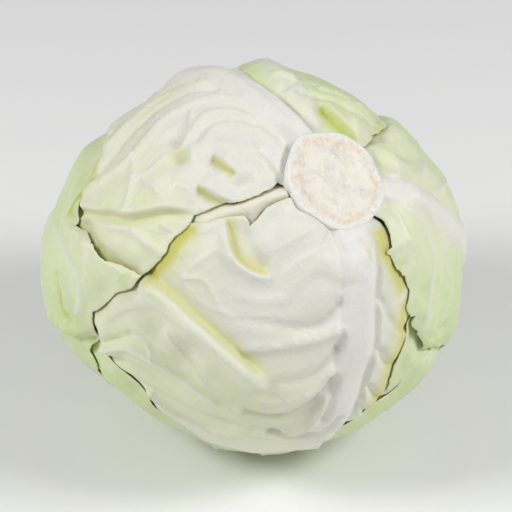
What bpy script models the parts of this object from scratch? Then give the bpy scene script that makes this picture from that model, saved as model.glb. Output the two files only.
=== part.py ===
"""A head of white cabbage as picked, lying tilted with its cut stem up and to one side.

The head is a solid heart of packed leaves, the cut stem, and seven wrapper leaves, each its own solid.
Every leaf is a waved blade over the head: a closed outline on the head's surface, filled with triangles
and lifted along rays from the head's centre. A leaf dips where others cover it, rises over what lies
beneath it, and carries its ribs, folds and hollows. Places on the head are given as pixels of the
512 pixel photograph or, on the hidden side, as angles round the stem.
"""

import math

import bmesh
import bpy
import numpy as np
from mathutils import Vector
from mathutils.bvhtree import BVHTree
from mathutils.geometry import delaunay_2d_cdt

MM = 0.001

# Photograph's view of the head
PIXEL = 0.4 * MM  # one pixel, measured at the head's centre
PHOTO_MIDDLE = (256.0, 256.0)
HEAD_PIXEL = (252.0, 260.0)  # where the head's centre is in the photograph
CAMERA_AWAY = 900 * MM
CAMERA_DOWN = math.radians(35)  # the camera looks down by this angle

# Head
HEAD_OUTLINE = [
    83.0, 84.0, 81.2, 79.6, 77.0, 77.6, 78.0, 78.0, 76.0, 78.0, 80.4, 81.5,
    83.6, 83.0, 79.4, 75.0, 73.4, 74.8, 77.4, 78.0, 79.4, 80.6, 83.6, 85.0,
]  # its outline's distance from the centre in mm, every 15 degrees
HEAD_FRONT = 77 * MM  # its radius towards the camera
HEAD_BACK = 79 * MM
MEAN_RADIUS = 79 * MM
HEAD_LOW = 76.6 * MM  # how far the flat spot that it rests on is below its centre
SPOT_CLEAR = 0.6 * MM  # how far the other leaves stay above the floor
HEAD_CENTRE = Vector((-0.9 * MM, -0.3 * MM, HEAD_LOW))  # over the middle of the floor

# Stem
STEM_AZIMUTH = math.radians(44)  # the stem's direction in the photograph's plane
STEM_TILT = math.radians(35.4)  # and its angle from the line of sight
STEM_DIP = 2.0 * MM  # the hollow of the leaves round the stem
STEM_DIP_SPREAD = math.radians(24)
STEM_CUT = 75.8 * MM  # the cut face's distance from the head's centre
STEM_ROOT = 64.5 * MM
STEM_REACH = math.radians(15.0)  # half the angle that the stem fills, seen from the head's centre
STEM_CORNERS = math.radians(0.35)  # how far the corners of its rim stand out
STEM_SIDES = 44
STEM_BEVEL = 0.9 * MM
LEAST_FLOOR_SLOPE = 0.3  # directions nearer level than this are taken to reach the floor no sooner
ROOT_SPREAD = 1.6  # the heart stays below the stem out to this many times the stem's reach
LEAST_ROOT_SLOPE = 0.9
LEAF_FOOT = math.radians(0.45)  # from the stem's side to a leaf's foot
FOOT_REACH = 14.0  # degrees: less than the stem's, so that a leaf's foot follows the stem's side

# Layers
HEART_DEPTH = 12.7 * MM
HEART_MARGIN = 1.6 * MM  # how far the margins of the heart's own leaves stand out
HEART_TURNS = 3  # how many of them wind round it
HEART_SLANT = 0.55  # turns for each radian away from the stem
HEART_SOFT = 0.25  # the share of a turn over which such a margin falls
HEART_FADE = 0.6  # radians from the poles over which they grow
LAYER = 3.2 * MM  # how far a leaf dips for each leaf that covers it
DIP_OUT = 10 * MM  # the dip starts this far outside the covering margin
DIP_IN = 3 * MM
BLADE = 1.25 * MM
MARGIN_BLADE = 0.9 * MM
MARGIN_WIDTH = 6 * MM
GAP = 0.4 * MM
LEAST_GAP = 0.28 * MM  # what is left of it between the flat triangles
LEAST_BLADE = 0.8 * MM
UNEVEN = 0.75 * MM  # the slow waves over each blade
UNEVEN_WAVES = 7
RUFFLE = 2.2 * MM  # how far a free margin lifts in waves
RUFFLE_WIDTH = 9 * MM
RUFFLE_LENGTH = 30 * MM
RUFFLE_FROM = (math.radians(45), math.radians(85))  # the margins grow wavy at this angle from the stem
FOLD_WIDTH = 2.6 * MM
FOLD_RISE, FOLD_DROP = 9 * MM, 7 * MM  # how fast a fold's high and low sides level out
BROAD_RIB = 4.0  # mm: a rib of this half width or more has a flat back

# Triangle sizes
EDGE_STEP = 5.0 * MM
LINE_STEP = 6.2 * MM
FILL_STEP = 8.2 * MM
CLOSE = 3.2 * MM  # points along neighbouring lines keep this far apart
CURVE_PARTS = 20  # steps in each part of a smooth curve
SHORTEST = 0.3  # of a step, the shortest side kept in a margin
AIMS = 8  # steps in finding the head's surface at a pixel
SPREAD_CELLS = 2
PASSES = 3
LIFT_CELL = 2.6 * MM
TESTS = 7  # each triangle is tested for clearance at this many steps along its sides

PALE, YELLOWISH, GREENISH = (0.74, 0.77, 0.60), (0.76, 0.74, 0.52), (0.62, 0.72, 0.42)
STEM_WHITE = (0.80, 0.72, 0.60)


# Directions from the head's centre: x right, y up and z to the camera, as the photograph shows it


def unit(v):
    v = np.asarray(v, float)
    return v / np.linalg.norm(v, axis=-1, keepdims=True)


STEM = np.array([
    math.sin(STEM_TILT) * math.cos(STEM_AZIMUTH),
    math.sin(STEM_TILT) * math.sin(STEM_AZIMUTH),
    math.cos(STEM_TILT),
])
STEM_RIGHT = unit(np.array([1.0, 0.0, 0.0]) - STEM[0] * STEM)
STEM_UP = np.cross(STEM, STEM_RIGHT)
DOWN = np.array([0.0, -math.cos(CAMERA_DOWN), -math.sin(CAMERA_DOWN)])
AXES = np.array([
    [1.0, 0.0, 0.0],
    [0.0, math.sin(CAMERA_DOWN), math.cos(CAMERA_DOWN)],
    [0.0, -math.cos(CAMERA_DOWN), math.sin(CAMERA_DOWN)],
])  # the same three axes in the scene, where the camera looks along +Y and down


def between(a, b, c, d, t):
    """A smooth curve's point at share t from b to c, with a and d its points before and after."""
    return b + 0.5 * t * (c - a + t * (2 * a - 5 * b + 4 * c - d + t * (3 * (b - c) + d - a)))


def outline_radius(azimuth):
    count = len(HEAD_OUTLINE)
    place = (azimuth / (2 * math.pi) % 1.0) * count
    low = np.floor(place).astype(int)
    a, b, c, d = (np.array(HEAD_OUTLINE)[(low + k) % count] for k in (-1, 0, 1, 2))
    return MM * between(a, b, c, d, place - low)


def head_radius(d):
    """The head's outer surface along the directions d, a little dished round the stem."""
    across = 1.0 - d[..., 2] ** 2
    pole = np.where(d[..., 2] > 0, HEAD_FRONT, HEAD_BACK)
    radius = pole + (outline_radius(np.arctan2(d[..., 1], d[..., 0])) - pole) * across
    from_stem = np.arccos(np.clip(d @ STEM, -1, 1))
    return radius - STEM_DIP * np.exp(-((from_stem / STEM_DIP_SPREAD) ** 2))


def floor_radius(d, below):
    """How far the directions d reach before they pass a plane so far below the centre."""
    return below / np.maximum(d @ DOWN, LEAST_FLOOR_SLOPE)


def stem_reach(turn):
    return STEM_REACH + STEM_CORNERS * (np.cos(5 * turn + 0.6) + 0.5 * np.cos(8 * turn))


def seen(*pixels):
    """The directions of the head's surface at pixels of the photograph, given as (x, y)."""
    middle = np.array([PHOTO_MIDDLE[0] - HEAD_PIXEL[0], HEAD_PIXEL[1] - PHOTO_MIDDLE[1]]) * PIXEL
    eye = np.array([*middle, CAMERA_AWAY])
    found = []
    for x, y in pixels:
        aim = np.array([(x - HEAD_PIXEL[0]) * PIXEL, (HEAD_PIXEL[1] - y) * PIXEL, 0.0])
        ray = unit(aim - eye)
        along = -(eye @ ray)
        radius = MEAN_RADIUS
        for _ in range(AIMS):
            depth = max(along**2 - eye @ eye + radius**2, 0.0)
            hit = unit(eye + (along - math.sqrt(depth)) * ray)
            radius = float(head_radius(hit))
        found.append(hit)
    return found


def round_stem(*angles):
    """Directions given as (turn, reach): degrees round the stem from the right, and away from it."""
    found = []
    for turn, reach in np.radians(angles):
        side = math.cos(turn) * STEM_RIGHT + math.sin(turn) * STEM_UP
        found.append(math.cos(reach) * STEM + math.sin(reach) * side)
    return found


def foot(first, last):
    """A leaf's foot along the stem's side, from one turn to another."""
    return round_stem(*[(turn, FOOT_REACH) for turn in np.linspace(first, last, 5)])


def curve(points, step):
    """Even points, about a step apart, along a smooth curve through the given directions."""
    p = np.array([2 * points[0] - points[1], *points, 2 * points[-1] - points[-2]])
    parts = np.arange(CURVE_PARTS) / CURVE_PARTS
    fine = [between(*p[k : k + 4], t) for k in range(len(points) - 1) for t in parts]
    fine = unit(np.array([*fine, points[-1]]))
    length = np.concatenate([[0.0], np.cumsum(np.linalg.norm(np.diff(fine, axis=0), axis=1))]) * MEAN_RADIUS
    count = max(1, round(length[-1] / step))
    at = np.linspace(0.0, length[-1], count + 1)
    return unit(np.stack([np.interp(at, length, fine[:, k]) for k in range(3)], axis=1))


def clear_of_stem(d):
    """The directions d, those nearer the stem than a leaf's foot moved out to it."""
    turn = np.arctan2(d @ STEM_UP, d @ STEM_RIGHT)
    reach = np.arccos(np.clip(d @ STEM, -1, 1))
    reach = np.maximum(reach, stem_reach(turn) + LEAF_FOOT)[:, None]
    side = np.cos(turn)[:, None] * STEM_RIGHT + np.sin(turn)[:, None] * STEM_UP
    return np.cos(reach) * STEM + np.sin(reach) * side


def loop(strokes, step):
    """A closed outline of smooth strokes, each ending where the next begins, at a sharp corner."""
    starts = [stroke[0] for stroke in strokes]
    closed = [[*stroke, after] for stroke, after in zip(strokes, [*starts[1:], starts[0]])]
    points = clear_of_stem(np.concatenate([curve(stroke, step)[:-1] for stroke in closed]))
    gaps = np.linalg.norm(points - np.roll(points, 1, axis=0), axis=1) * MEAN_RADIUS
    return points[gaps > SHORTEST * step]


class Map:
    """A flat map of the head round a leaf's middle, with true distances from that middle."""

    def __init__(self, middle):
        self.middle = unit(middle)
        self.right = unit(np.cross([0.3, 0.9, 0.1], self.middle))
        self.up = np.cross(self.middle, self.right)

    def flat(self, d):
        angle = np.arccos(np.clip(d @ self.middle, -1, 1))
        side = np.stack([d @ self.right, d @ self.up], axis=-1)
        size = np.maximum(np.linalg.norm(side, axis=-1), 1e-9)
        return side * (MEAN_RADIUS * angle / size)[..., None]

    def direction(self, p):
        angle = np.linalg.norm(p, axis=-1) / MEAN_RADIUS
        share = (np.sin(angle) / np.maximum(angle, 1e-9))[..., None]
        side = p / MEAN_RADIUS * share
        along = side[..., :1] * self.right + side[..., 1:] * self.up
        return unit(along + np.cos(angle)[..., None] * self.middle)


def to_line(p, a, b):
    """(distance, share along, side) of each point p to the chain of segments from a to b."""
    run = b - a
    size = np.maximum((run**2).sum(1), 1e-18)
    best = np.full(len(p), np.inf)
    share, side = np.zeros(len(p)), np.zeros(len(p))
    for k in range(len(a)):
        off = p - a[k]
        t = np.clip(off @ run[k] / size[k], 0, 1)
        distance = ((off - t[:, None] * run[k]) ** 2).sum(1)
        near = distance < best
        best = np.where(near, distance, best)
        share = np.where(near, (k + t) / len(a), share)
        side = np.where(near, np.sign(run[k][0] * off[:, 1] - run[k][1] * off[:, 0]), side)
    return np.sqrt(best), share, side


def within(p, corners):
    """Whether each point p lies inside the closed outline."""
    found = np.zeros(len(p), bool)
    for a, b in zip(corners, np.roll(corners, -1, axis=0)):
        rise = b[1] - a[1]
        if rise:
            crosses = (a[1] > p[:, 1]) != (b[1] > p[:, 1])
            found ^= crosses & (p[:, 0] < a[0] + (p[:, 1] - a[1]) * (b[0] - a[0]) / rise)
    return found


def smoothstep(x):
    x = np.clip(x, 0, 1)
    return x * x * (3 - 2 * x)


class Leaf:
    """A wrapper leaf: where it lies on the head, and what stands out of it.

    ribs: (points, half width, height at the first point, height at the last), in mm, on the outer face.
    waves: the same, but moving both faces; a negative height makes a groove.
    folds: (points, rise left of the line, drop right of it), in mm.
    bumps: (directions, radius, height), in mm; a negative height makes a hollow.
    """

    def __init__(self, name, seed, colour, middle, strokes, ribs=(), waves=(), folds=(), bumps=(), free=1.0):
        self.name, self.colour, self.map = name, colour, Map(middle[0])
        draw = np.random.default_rng(seed)
        self.uneven = unit(draw.normal(size=(UNEVEN_WAVES, 3))) * draw.uniform(8, 22, UNEVEN_WAVES)[:, None]
        self.phase = draw.uniform(0, 2 * math.pi, UNEVEN_WAVES)
        self.edge = self.map.flat(loop(strokes, EDGE_STEP))
        self.ribs = [(self.map.flat(curve(points, LINE_STEP)), *sizes) for points, *sizes in ribs]
        self.waves = [(self.map.flat(curve(points, LINE_STEP)), *sizes) for points, *sizes in waves]
        self.folds = [(self.map.flat(curve(points, LINE_STEP)), *sizes) for points, *sizes in folds]
        self.bumps, self.free = bumps, free

    def margin(self, p):
        """How far inside the leaf's margin each place on its map is, negative outside."""
        distance, _, _ = to_line(p, self.edge, np.roll(self.edge, -1, axis=0))
        return np.where(within(p, self.edge), distance, -distance)

    def cover(self, d):
        """1 beneath this leaf, falling to 0 outside its margin."""
        return smoothstep((self.margin(self.map.flat(d)) + DIP_OUT) / (DIP_OUT + DIP_IN))

    def rib_height(self, p, lines):
        height = np.zeros(len(p))
        for q, width, start, end in lines:
            distance, share, _ = to_line(p, q[:-1], q[1:])
            power = 4 if width >= BROAD_RIB else 2
            height += (start + (end - start) * share) * MM * np.exp(-((distance / (width * MM)) ** power))
        return height

    def ruffle(self, d, p):
        """The waves of a free margin."""
        distance, share, _ = to_line(p, self.edge, np.roll(self.edge, -1, axis=0))
        around = np.linalg.norm(self.edge - np.roll(self.edge, 1, axis=0), axis=1).sum()
        turn = 2 * math.pi * share * round(around / RUFFLE_LENGTH)
        wave = 0.5 + 0.35 * np.sin(turn + self.phase[0]) + 0.15 * np.sin(2 * turn + self.phase[1])
        reach = np.arccos(np.clip(d @ STEM, -1, 1))
        grown = smoothstep((reach - RUFFLE_FROM[0]) / (RUFFLE_FROM[1] - RUFFLE_FROM[0]))
        return self.free * RUFFLE * wave * grown * np.exp(-distance / RUFFLE_WIDTH)

    def shift(self, d, p):
        """How far both faces move outward at each direction."""
        moved = self.rib_height(p, self.waves) + UNEVEN * np.sin(d @ self.uneven.T + self.phase).mean(1) * 2
        for q, rise, drop in self.folds:
            distance, share, side = to_line(p, q[:-1], q[1:])
            strength = smoothstep(6 * share) * smoothstep(6 * (1 - share))
            left = smoothstep(0.5 + 0.5 * side * distance / FOLD_WIDTH)
            high = rise * MM * np.exp(-distance / FOLD_RISE)
            low = drop * MM * np.exp(-distance / FOLD_DROP)
            moved += strength * (left * high - (1 - left) * low)
        for centres, radius, height in self.bumps:
            for centre in centres:
                away = np.arccos(np.clip(d @ centre, -1, 1)) * MEAN_RADIUS / (radius * MM)
                moved += height * MM * np.exp(-(away**2))
        return moved


class Pile:
    """The solids placed so far, felt along rays from outside to the head's centre."""

    def __init__(self):
        self.points, self.faces, self.tree = np.zeros((0, 3)), np.zeros((0, 3), int), None

    def add(self, points, faces):
        self.faces = np.concatenate([self.faces, faces + len(self.points)])
        self.points = np.concatenate([self.points, points])
        corners = [Vector(p) for p in self.points]
        self.tree = BVHTree.FromPolygons(corners, [tuple(map(int, f)) for f in self.faces])

    def radius(self, d):
        found = np.zeros(len(d))
        for k, ray in enumerate(d @ AXES):
            hit = self.tree.ray_cast(Vector(2 * MEAN_RADIUS * ray), Vector(-ray))[0]
            found[k] = hit.length if hit is not None else 0.0
        return found


def placed(d, radius):
    return (d * radius[:, None]) @ AXES


def faces_of(leaf, above, d):
    """(inner, outer) radius of a leaf before it is lifted clear of what it lies on."""
    p = leaf.map.flat(d)
    covered = sum((other.cover(d) for other in above), np.zeros(len(d)))
    thickness = MARGIN_BLADE + (BLADE - MARGIN_BLADE) * smoothstep(leaf.margin(p) / MARGIN_WIDTH)
    free = leaf.ruffle(d, p) * np.clip(1 - covered, 0, 1)
    inner = head_radius(d) - LAYER * covered + leaf.shift(d, p) + free - thickness
    return inner, inner + thickness + leaf.rib_height(p, leaf.ribs)


def spread(grid, cells):
    """Each cell's highest neighbour within so many cells, then smoothed over the same distance."""
    reach = range(-cells, cells + 1)
    weights = np.array([1 + math.cos(math.pi * k / (cells + 1)) for k in reach])
    for axis in (0, 1):
        grid = np.max([np.roll(grid, k, axis=axis) for k in reach], axis=0)
    for axis in (0, 1):
        grid = sum(w * np.roll(grid, k, axis=axis) for w, k in zip(weights / weights.sum(), reach))
    return grid


def lift_at(p, leaf, above, pile):
    """How far the leaf is lifted at each place p of its map, so that it clears the pile smoothly."""
    pad = 6 * LIFT_CELL
    low, high = leaf.edge.min(0) - pad, leaf.edge.max(0) + pad
    xs, ys = np.arange(low[0], high[0], LIFT_CELL), np.arange(low[1], high[1], LIFT_CELL)
    cells = np.stack(np.meshgrid(xs, ys, indexing="ij"), axis=-1).reshape(-1, 2)
    near = leaf.margin(cells) > -LIFT_CELL
    d = leaf.map.direction(cells[near])
    need = np.zeros(len(cells))
    need[near] = np.maximum(pile.radius(d) + GAP - faces_of(leaf, above, d)[0], 0)
    grid = spread(need.reshape(len(xs), len(ys)), SPREAD_CELLS)
    x, y = (p[:, 0] - low[0]) / LIFT_CELL, (p[:, 1] - low[1]) / LIFT_CELL
    i, j = x.astype(int), y.astype(int)
    s, t = x - i, y - j
    first = grid[i, j] * (1 - s) + grid[i + 1, j] * s
    second = grid[i, j + 1] * (1 - s) + grid[i + 1, j + 1] * s
    return first * (1 - t) + second * t


def thinned(p, others, gap):
    """The points p that are farther than gap from each of the others."""
    if not len(others):
        return p
    nearest = np.min([((p - q) ** 2).sum(1) for q in others], axis=0)
    return p[nearest > gap**2]


def beside(q, *distances):
    """The line q, and lines at each distance in mm on both sides of it."""
    run = unit(np.gradient(q, axis=0))
    across = np.stack([-run[:, 1], run[:, 0]], axis=1) * MM
    return [q, *(q + side * distance * across for distance in distances for side in (1, -1))]


def triangles(leaf):
    """The leaf's places and triangles: close along its margin and its lines, wider between them."""
    edge, after = leaf.edge, np.roll(leaf.edge, -1, axis=0)
    lines = [line for q, *_ in leaf.folds for line in beside(q, FOLD_WIDTH / MM)[1:]]
    for q, width, *_ in [*leaf.ribs, *leaf.waves]:
        lines += beside(q, 0.65 * width, 1.25 * width) if width >= BROAD_RIB else beside(q, 1.2 * width)
    kept = np.zeros((0, 2))
    for q in lines:
        q = q[leaf.margin(q) > 0.5 * EDGE_STEP]
        kept = np.concatenate([kept, thinned(q, kept, CLOSE)])
    low, high = edge.min(0), edge.max(0)
    rows = np.arange(low[1], high[1], FILL_STEP * math.sqrt(0.75))
    columns = np.arange(low[0], high[0], FILL_STEP)
    fill = np.array([(x + k % 2 * FILL_STEP / 2, y) for k, y in enumerate(rows) for x in columns])
    fill = fill[leaf.margin(fill) > 0.65 * FILL_STEP]
    points = np.concatenate([edge, kept, thinned(fill, kept, 0.7 * FILL_STEP)])
    sides = [(k, (k + 1) % len(edge)) for k in range(len(edge))]
    made = delaunay_2d_cdt([Vector(p) for p in points], sides, [], 1, 1e-7)
    return np.array([tuple(v) for v in made[0]]), np.array([list(f) for f in made[2]])


def outward(points, faces):
    """The faces, each turned so that it points away from the head's centre."""
    a, b, c = points[faces].transpose(1, 0, 2)
    inward = np.einsum("ij,ij->i", np.cross(b - a, c - a), a) < 0
    return np.where(inward[:, None], faces[:, ::-1], faces)


def shell(d, faces, inner, outer):
    """A closed solid between two radii, with the same triangles on both faces."""
    count = len(d)
    faces = outward(placed(d, outer), faces)
    sides = {(int(a), int(b)) for face in faces for a, b in zip(face, np.roll(face, -1))}
    rim = sorted((a, b) for a, b in sides if (b, a) not in sides)
    walls = [wall for a, b in rim for wall in ((b, a, a + count), (b, a + count, b + count))]
    points = np.concatenate([placed(d, outer), placed(d, inner)])
    return points, np.concatenate([faces, faces[:, ::-1] + count, np.array(walls)])


def add_object(name, points, faces, colour, roughness=0.45):
    made = bpy.data.materials.new(name)
    made.use_nodes = True
    shader = made.node_tree.nodes["Principled BSDF"]
    shader.inputs["Base Color"].default_value = (*colour, 1.0)
    shader.inputs["Roughness"].default_value = roughness
    shader.inputs["Metallic"].default_value = 0.0
    mesh = bpy.data.meshes.new(name)
    mesh.from_pydata([tuple(p) for p in points], [], [tuple(map(int, f)) for f in faces])
    mesh.shade_smooth()
    mesh.materials.append(made)
    piece = bpy.data.objects.new(name, mesh)
    piece.location = HEAD_CENTRE
    bpy.context.scene.collection.objects.link(piece)


def clear_between(d, faces, inner, pile):
    """The extra lift that keeps the flat triangles of a leaf's inner face clear of the pile."""
    shares = [np.array([a, b, TESTS - a - b]) / TESTS for a in range(TESTS + 1) for b in range(TESTS + 1 - a)]
    extra = np.zeros(len(d))
    for _ in range(PASSES):
        corners = (d * (inner + extra)[:, None])[faces]
        for share in shares:
            middle = np.einsum("k,ikj->ij", share, corners)
            radius = np.linalg.norm(middle, axis=1)
            short = pile.radius(middle / radius[:, None]) + LEAST_GAP - radius
            for k in range(3):
                np.maximum.at(extra, faces[:, k], np.where(short > 0, extra[faces[:, k]] + short, 0))
    return extra


def make_leaf(leaf, above, pile, rests):
    p, faces = triangles(leaf)
    d = leaf.map.direction(p)
    inner, outer = faces_of(leaf, above, d)
    lift = lift_at(p, leaf, above, pile)
    lift = np.maximum(lift, pile.radius(d) + GAP - inner)
    lift = lift + clear_between(d, faces, inner + lift, pile)
    outer = np.minimum(outer + lift, floor_radius(d, HEAD_LOW + (0 if rests else -SPOT_CLEAR)))
    inner = np.minimum(inner + lift, outer - LEAST_BLADE)
    points, faces = shell(d, faces, inner, outer)
    pile.add(points, faces)
    add_object(leaf.name, points, faces, leaf.colour)


# Heart and stem


def make_heart(pile):
    """The packed inner leaves: one solid, with the margins of its own outer leaves winding round it."""
    ball = bmesh.new()
    bmesh.ops.create_icosphere(ball, subdivisions=4, radius=1.0)
    d = unit([v.co for v in ball.verts])
    faces = np.array([[v.index for v in f.verts] for f in ball.faces])
    ball.free()
    turn = np.arctan2(d @ STEM_UP, d @ STEM_RIGHT)
    reach = np.arccos(np.clip(d @ STEM, -1, 1))
    winding = (HEART_TURNS * turn / (2 * math.pi) + HEART_SLANT * reach) % 1.0
    fade = smoothstep(reach / HEART_FADE) * smoothstep((math.pi - reach) / HEART_FADE)
    margin = winding * smoothstep((1 - winding) / HEART_SOFT) * fade
    radius = head_radius(d) - HEART_DEPTH + HEART_MARGIN * margin
    under_stem = (STEM_ROOT - 2 * GAP) / np.maximum(np.cos(reach), LEAST_ROOT_SLOPE)
    radius = np.where(reach < ROOT_SPREAD * STEM_REACH, np.minimum(radius, under_stem), radius)
    points = placed(d, radius)
    faces = outward(points, faces)
    pile.add(points, faces)
    add_object("heart", points, faces, YELLOWISH)


def make_stem():
    """The cut stump: a plug that widens to its flat cut face, with blunt corners where stalks were cut."""
    turn = np.arange(STEM_SIDES) * 2 * math.pi / STEM_SIDES
    side = np.cos(turn)[:, None] * STEM_RIGHT + np.sin(turn)[:, None] * STEM_UP
    slope = np.tan(stem_reach(turn))[:, None]
    heights = (STEM_ROOT, STEM_CUT - STEM_BEVEL, STEM_CUT)
    rings = [height * STEM + side * height * slope for height in heights]
    rings[-1] = rings[-1] - side * STEM_BEVEL
    points = np.concatenate([*rings, [STEM_ROOT * STEM], [STEM_CUT * STEM]]) @ AXES
    faces = []
    for k in range(STEM_SIDES):
        after = (k + 1) % STEM_SIDES
        for low in (0, STEM_SIDES):
            here, there = low + k, low + after
            faces += [(here, there, there + STEM_SIDES), (here, there + STEM_SIDES, here + STEM_SIDES)]
        top = 2 * STEM_SIDES
        faces += [(after, k, top + STEM_SIDES), (top + k, top + after, top + STEM_SIDES + 1)]
    add_object("stem", points, np.array(faces), STEM_WHITE, 0.6)


# Leaves, each with its strokes round its margin


def leaf_c():
    """The inner leaf left of the stem, of which a thick rib shows."""
    rib = seen((283, 196), (262, 201), (240, 208), (214, 217), (194, 224), (170, 236))
    return Leaf(
        "leaf_c", 1, YELLOWISH, seen((190, 226)),
        [
            foot(228, 192),
            round_stem((186, 16), (174, 34), (172, 58), (178, 82), (192, 98)),
            round_stem((196, 100), (210, 92), (226, 74), (236, 52), (240, 32)),
        ],
        ribs=[(rib, 3.2, 5.5, 0.8)],
    )


def leaf_a():
    """The big lower front leaf, with its broad midrib, two tears and a lobe below them."""
    midrib = seen((347, 222), (356, 255), (359, 300), (357, 345), (347, 385), (331, 425))
    midrib += round_stem((296, 106))
    ridge = seen((378, 226), (378, 260), (377, 300), (374, 343), (367, 380), (352, 423))
    ridge += round_stem((300, 98))
    veins = [
        seen((335, 318), (299, 328), (262, 322), (240, 319)),
        seen((330, 336), (300, 338), (277, 345), (247, 350)),
        seen((330, 372), (299, 385), (269, 384)),
        seen((322, 400), (284, 419), (244, 411)),
    ]
    strip = [
        seen((380, 308), (390, 320), (408, 328)),
        seen((375, 352), (388, 364)),
        seen((367, 388), (381, 401)),
    ]
    lobe_edge = seen((142, 288), (164, 301), (180, 318), (202, 340), (230, 367), (256, 391))
    lobe_veins = [
        seen((98, 346), (112, 345), (130, 342), (162, 360), (189, 382), (221, 394)),
        seen((140, 385), (170, 402), (215, 416), (250, 424)),
        seen((96, 326), (120, 312), (155, 302)),
    ]
    return Leaf(
        "leaf_a", 2, PALE, seen((290, 325)),
        [
            foot(336, 238),
            seen((302, 207), (291, 200), (278, 203), (267, 208)),
            seen((266, 209), (259, 219), (251, 225)),
            seen((250, 226), (246, 219)),
            seen((238, 220), (240, 234), (247, 249), (259, 262)),
            seen((271, 274), (256, 268), (240, 259), (231, 247), (229, 233)),
            seen((225, 219), (209, 222), (196, 223), (180, 221), (162, 234), (148, 252), (138, 268)),
            seen((144, 276), (158, 282), (172, 290), (187, 303), (209, 325), (237, 352), (259, 373)),
            seen((270, 384), (255, 378), (235, 359), (206, 332), (184, 310), (168, 296), (152, 287)),
            seen((138, 283), (122, 288), (106, 300), (93, 313)),
            seen((90, 318), (93, 332), (96, 345)),
            seen(
                (98, 350), (108, 357), (127, 376), (140, 387), (147, 398), (159, 409), (174, 418), (188, 429),
                (206, 439), (226, 448),
            ),
            round_stem((267, 111), (266, 119), (276, 127), (292, 128), (306, 120), (316, 106), (322, 92)),
            round_stem((328, 84), (334, 66), (338, 50), (340, 36), (339, 24)),
        ],
        ribs=[(midrib, 7.0, 4.4, 1.2), *((v, 1.8, 1.9, 1.0) for v in lobe_veins)],
        waves=[
            *((v, 3.0, 2.2, 0.8) for v in veins),
            *((v, 2.2, -1.9, -1.4) for v in strip),
            (lobe_edge, 3.9, 2.2, 2.6),
        ],
        folds=[(ridge, 1.6, 2.6)],
        bumps=[
            (seen((292, 232)), 11, 2.0),
            (seen((250, 292), (300, 365), (215, 262)), 12, -1.2),
            (seen((150, 320), (190, 352), (120, 352)), 6, -1.6),
            (seen((165, 330), (205, 372)), 6, 1.2),
            (seen((392, 300), (388, 345)), 7, 1.0),
        ],
    )


def leaf_b():
    """The leaf round the underside and the crown, whose margin shows at the lower right and lower left."""
    return Leaf(
        "leaf_b", 3, GREENISH, round_stem((285, 140)),
        [
            seen((412, 330), (402, 360), (395, 376)),
            seen((389, 393), (394, 392), (401, 386)),
            seen((406, 383), (395, 394), (383, 403), (368, 415), (355, 424), (343, 433), (331, 441)),
            [*round_stem((296, 101), (286, 106), (276, 111)), *seen((219, 447), (196, 437), (177, 427))],
            seen((162, 418), (146, 402), (139, 391), (118, 372), (101, 357)),
            round_stem((214, 95), (206, 104), (196, 118), (190, 136), (180, 156)),
            round_stem(
                (150, 172), (60, 174), (20, 164), (12, 150), (14, 130), (6, 108), (356, 88), (350, 70),
                (347, 50), (346, 34), (346, 20),
            ),
            foot(346, 334),
            round_stem((330, 18), (326, 30), (319, 42)),
        ],
        ribs=[
            (round_stem((340, 20), (339, 50), (340, 80), (342, 108), (348, 132)), 4.5, 2.8, 1.6),
            (seen((430, 362), (418, 372), (404, 382)), 1.6, 0.9, 0.7),
            (round_stem((300, 100), (285, 112), (262, 124), (238, 128)), 2.2, 1.2, 0.8),
            (round_stem((330, 110), (312, 122), (280, 134), (240, 142)), 2.2, 1.0, 0.8),
        ],
        waves=[(round_stem((225, 112), (240, 120), (258, 124)), 3.5, -1.4, -1.2)],
        bumps=[(round_stem((232, 138), (262, 152), (340, 152)), 9, -1.6)],
    )


def leaf_s():
    """The right leaf, white at its foot, with a ragged margin over the front leaf."""
    behind = round_stem((2, 48), (3, 66), (6, 88), (10, 112))
    midrib = [*seen((386, 186), (405, 190), (430, 204), (452, 230)), *behind]
    return Leaf(
        "leaf_s", 4, GREENISH, seen((440, 240)),
        [
            foot(56, -30),
            seen((383, 214), (390, 221), (394, 232), (393, 245), (389, 253)),
            seen((393, 256), (398, 268), (407, 277), (412, 287), (413, 296), (409, 309)),
            seen((413, 317), (418, 318), (416, 326), (421, 338)),
            seen((427, 350), (436, 349), (444, 347)),
            round_stem((337, 76), (341, 92), (348, 108), (358, 124), (12, 137), (30, 141), (46, 134)),
            round_stem((58, 120), (64, 104), (66, 86), (65, 66), (64, 46), (62, 30), (60, 18)),
        ],
        ribs=[
            (midrib, 5.5, 3.8, 1.6),
            (seen((424, 208), (432, 250), (430, 290), (424, 325)), 1.6, 1.0, 0.7),
            (seen((410, 190), (420, 160), (414, 130)), 1.8, 1.0, 0.6),
            (round_stem((3, 70), (350, 84), (346, 100)), 2.0, 1.2, 0.8),
            (round_stem((4, 72), (22, 88), (34, 106)), 2.0, 1.2, 0.8),
        ],
        waves=[(seen((392, 178), (412, 183), (432, 195), (456, 220)), 3.0, -1.6, -1.2)],
        bumps=[
            (seen((400, 262), (420, 285), (440, 268)), 5, -2.0),
            (seen((404, 240), (432, 335), (420, 305)), 5, 1.6),
            (seen((384, 140), (396, 152), (404, 134)), 4.5, -1.6),
            (seen((392, 130), (410, 150)), 4.5, 1.4),
            (round_stem((20, 120), (355, 110)), 8, -1.8),
        ],
    )


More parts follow.
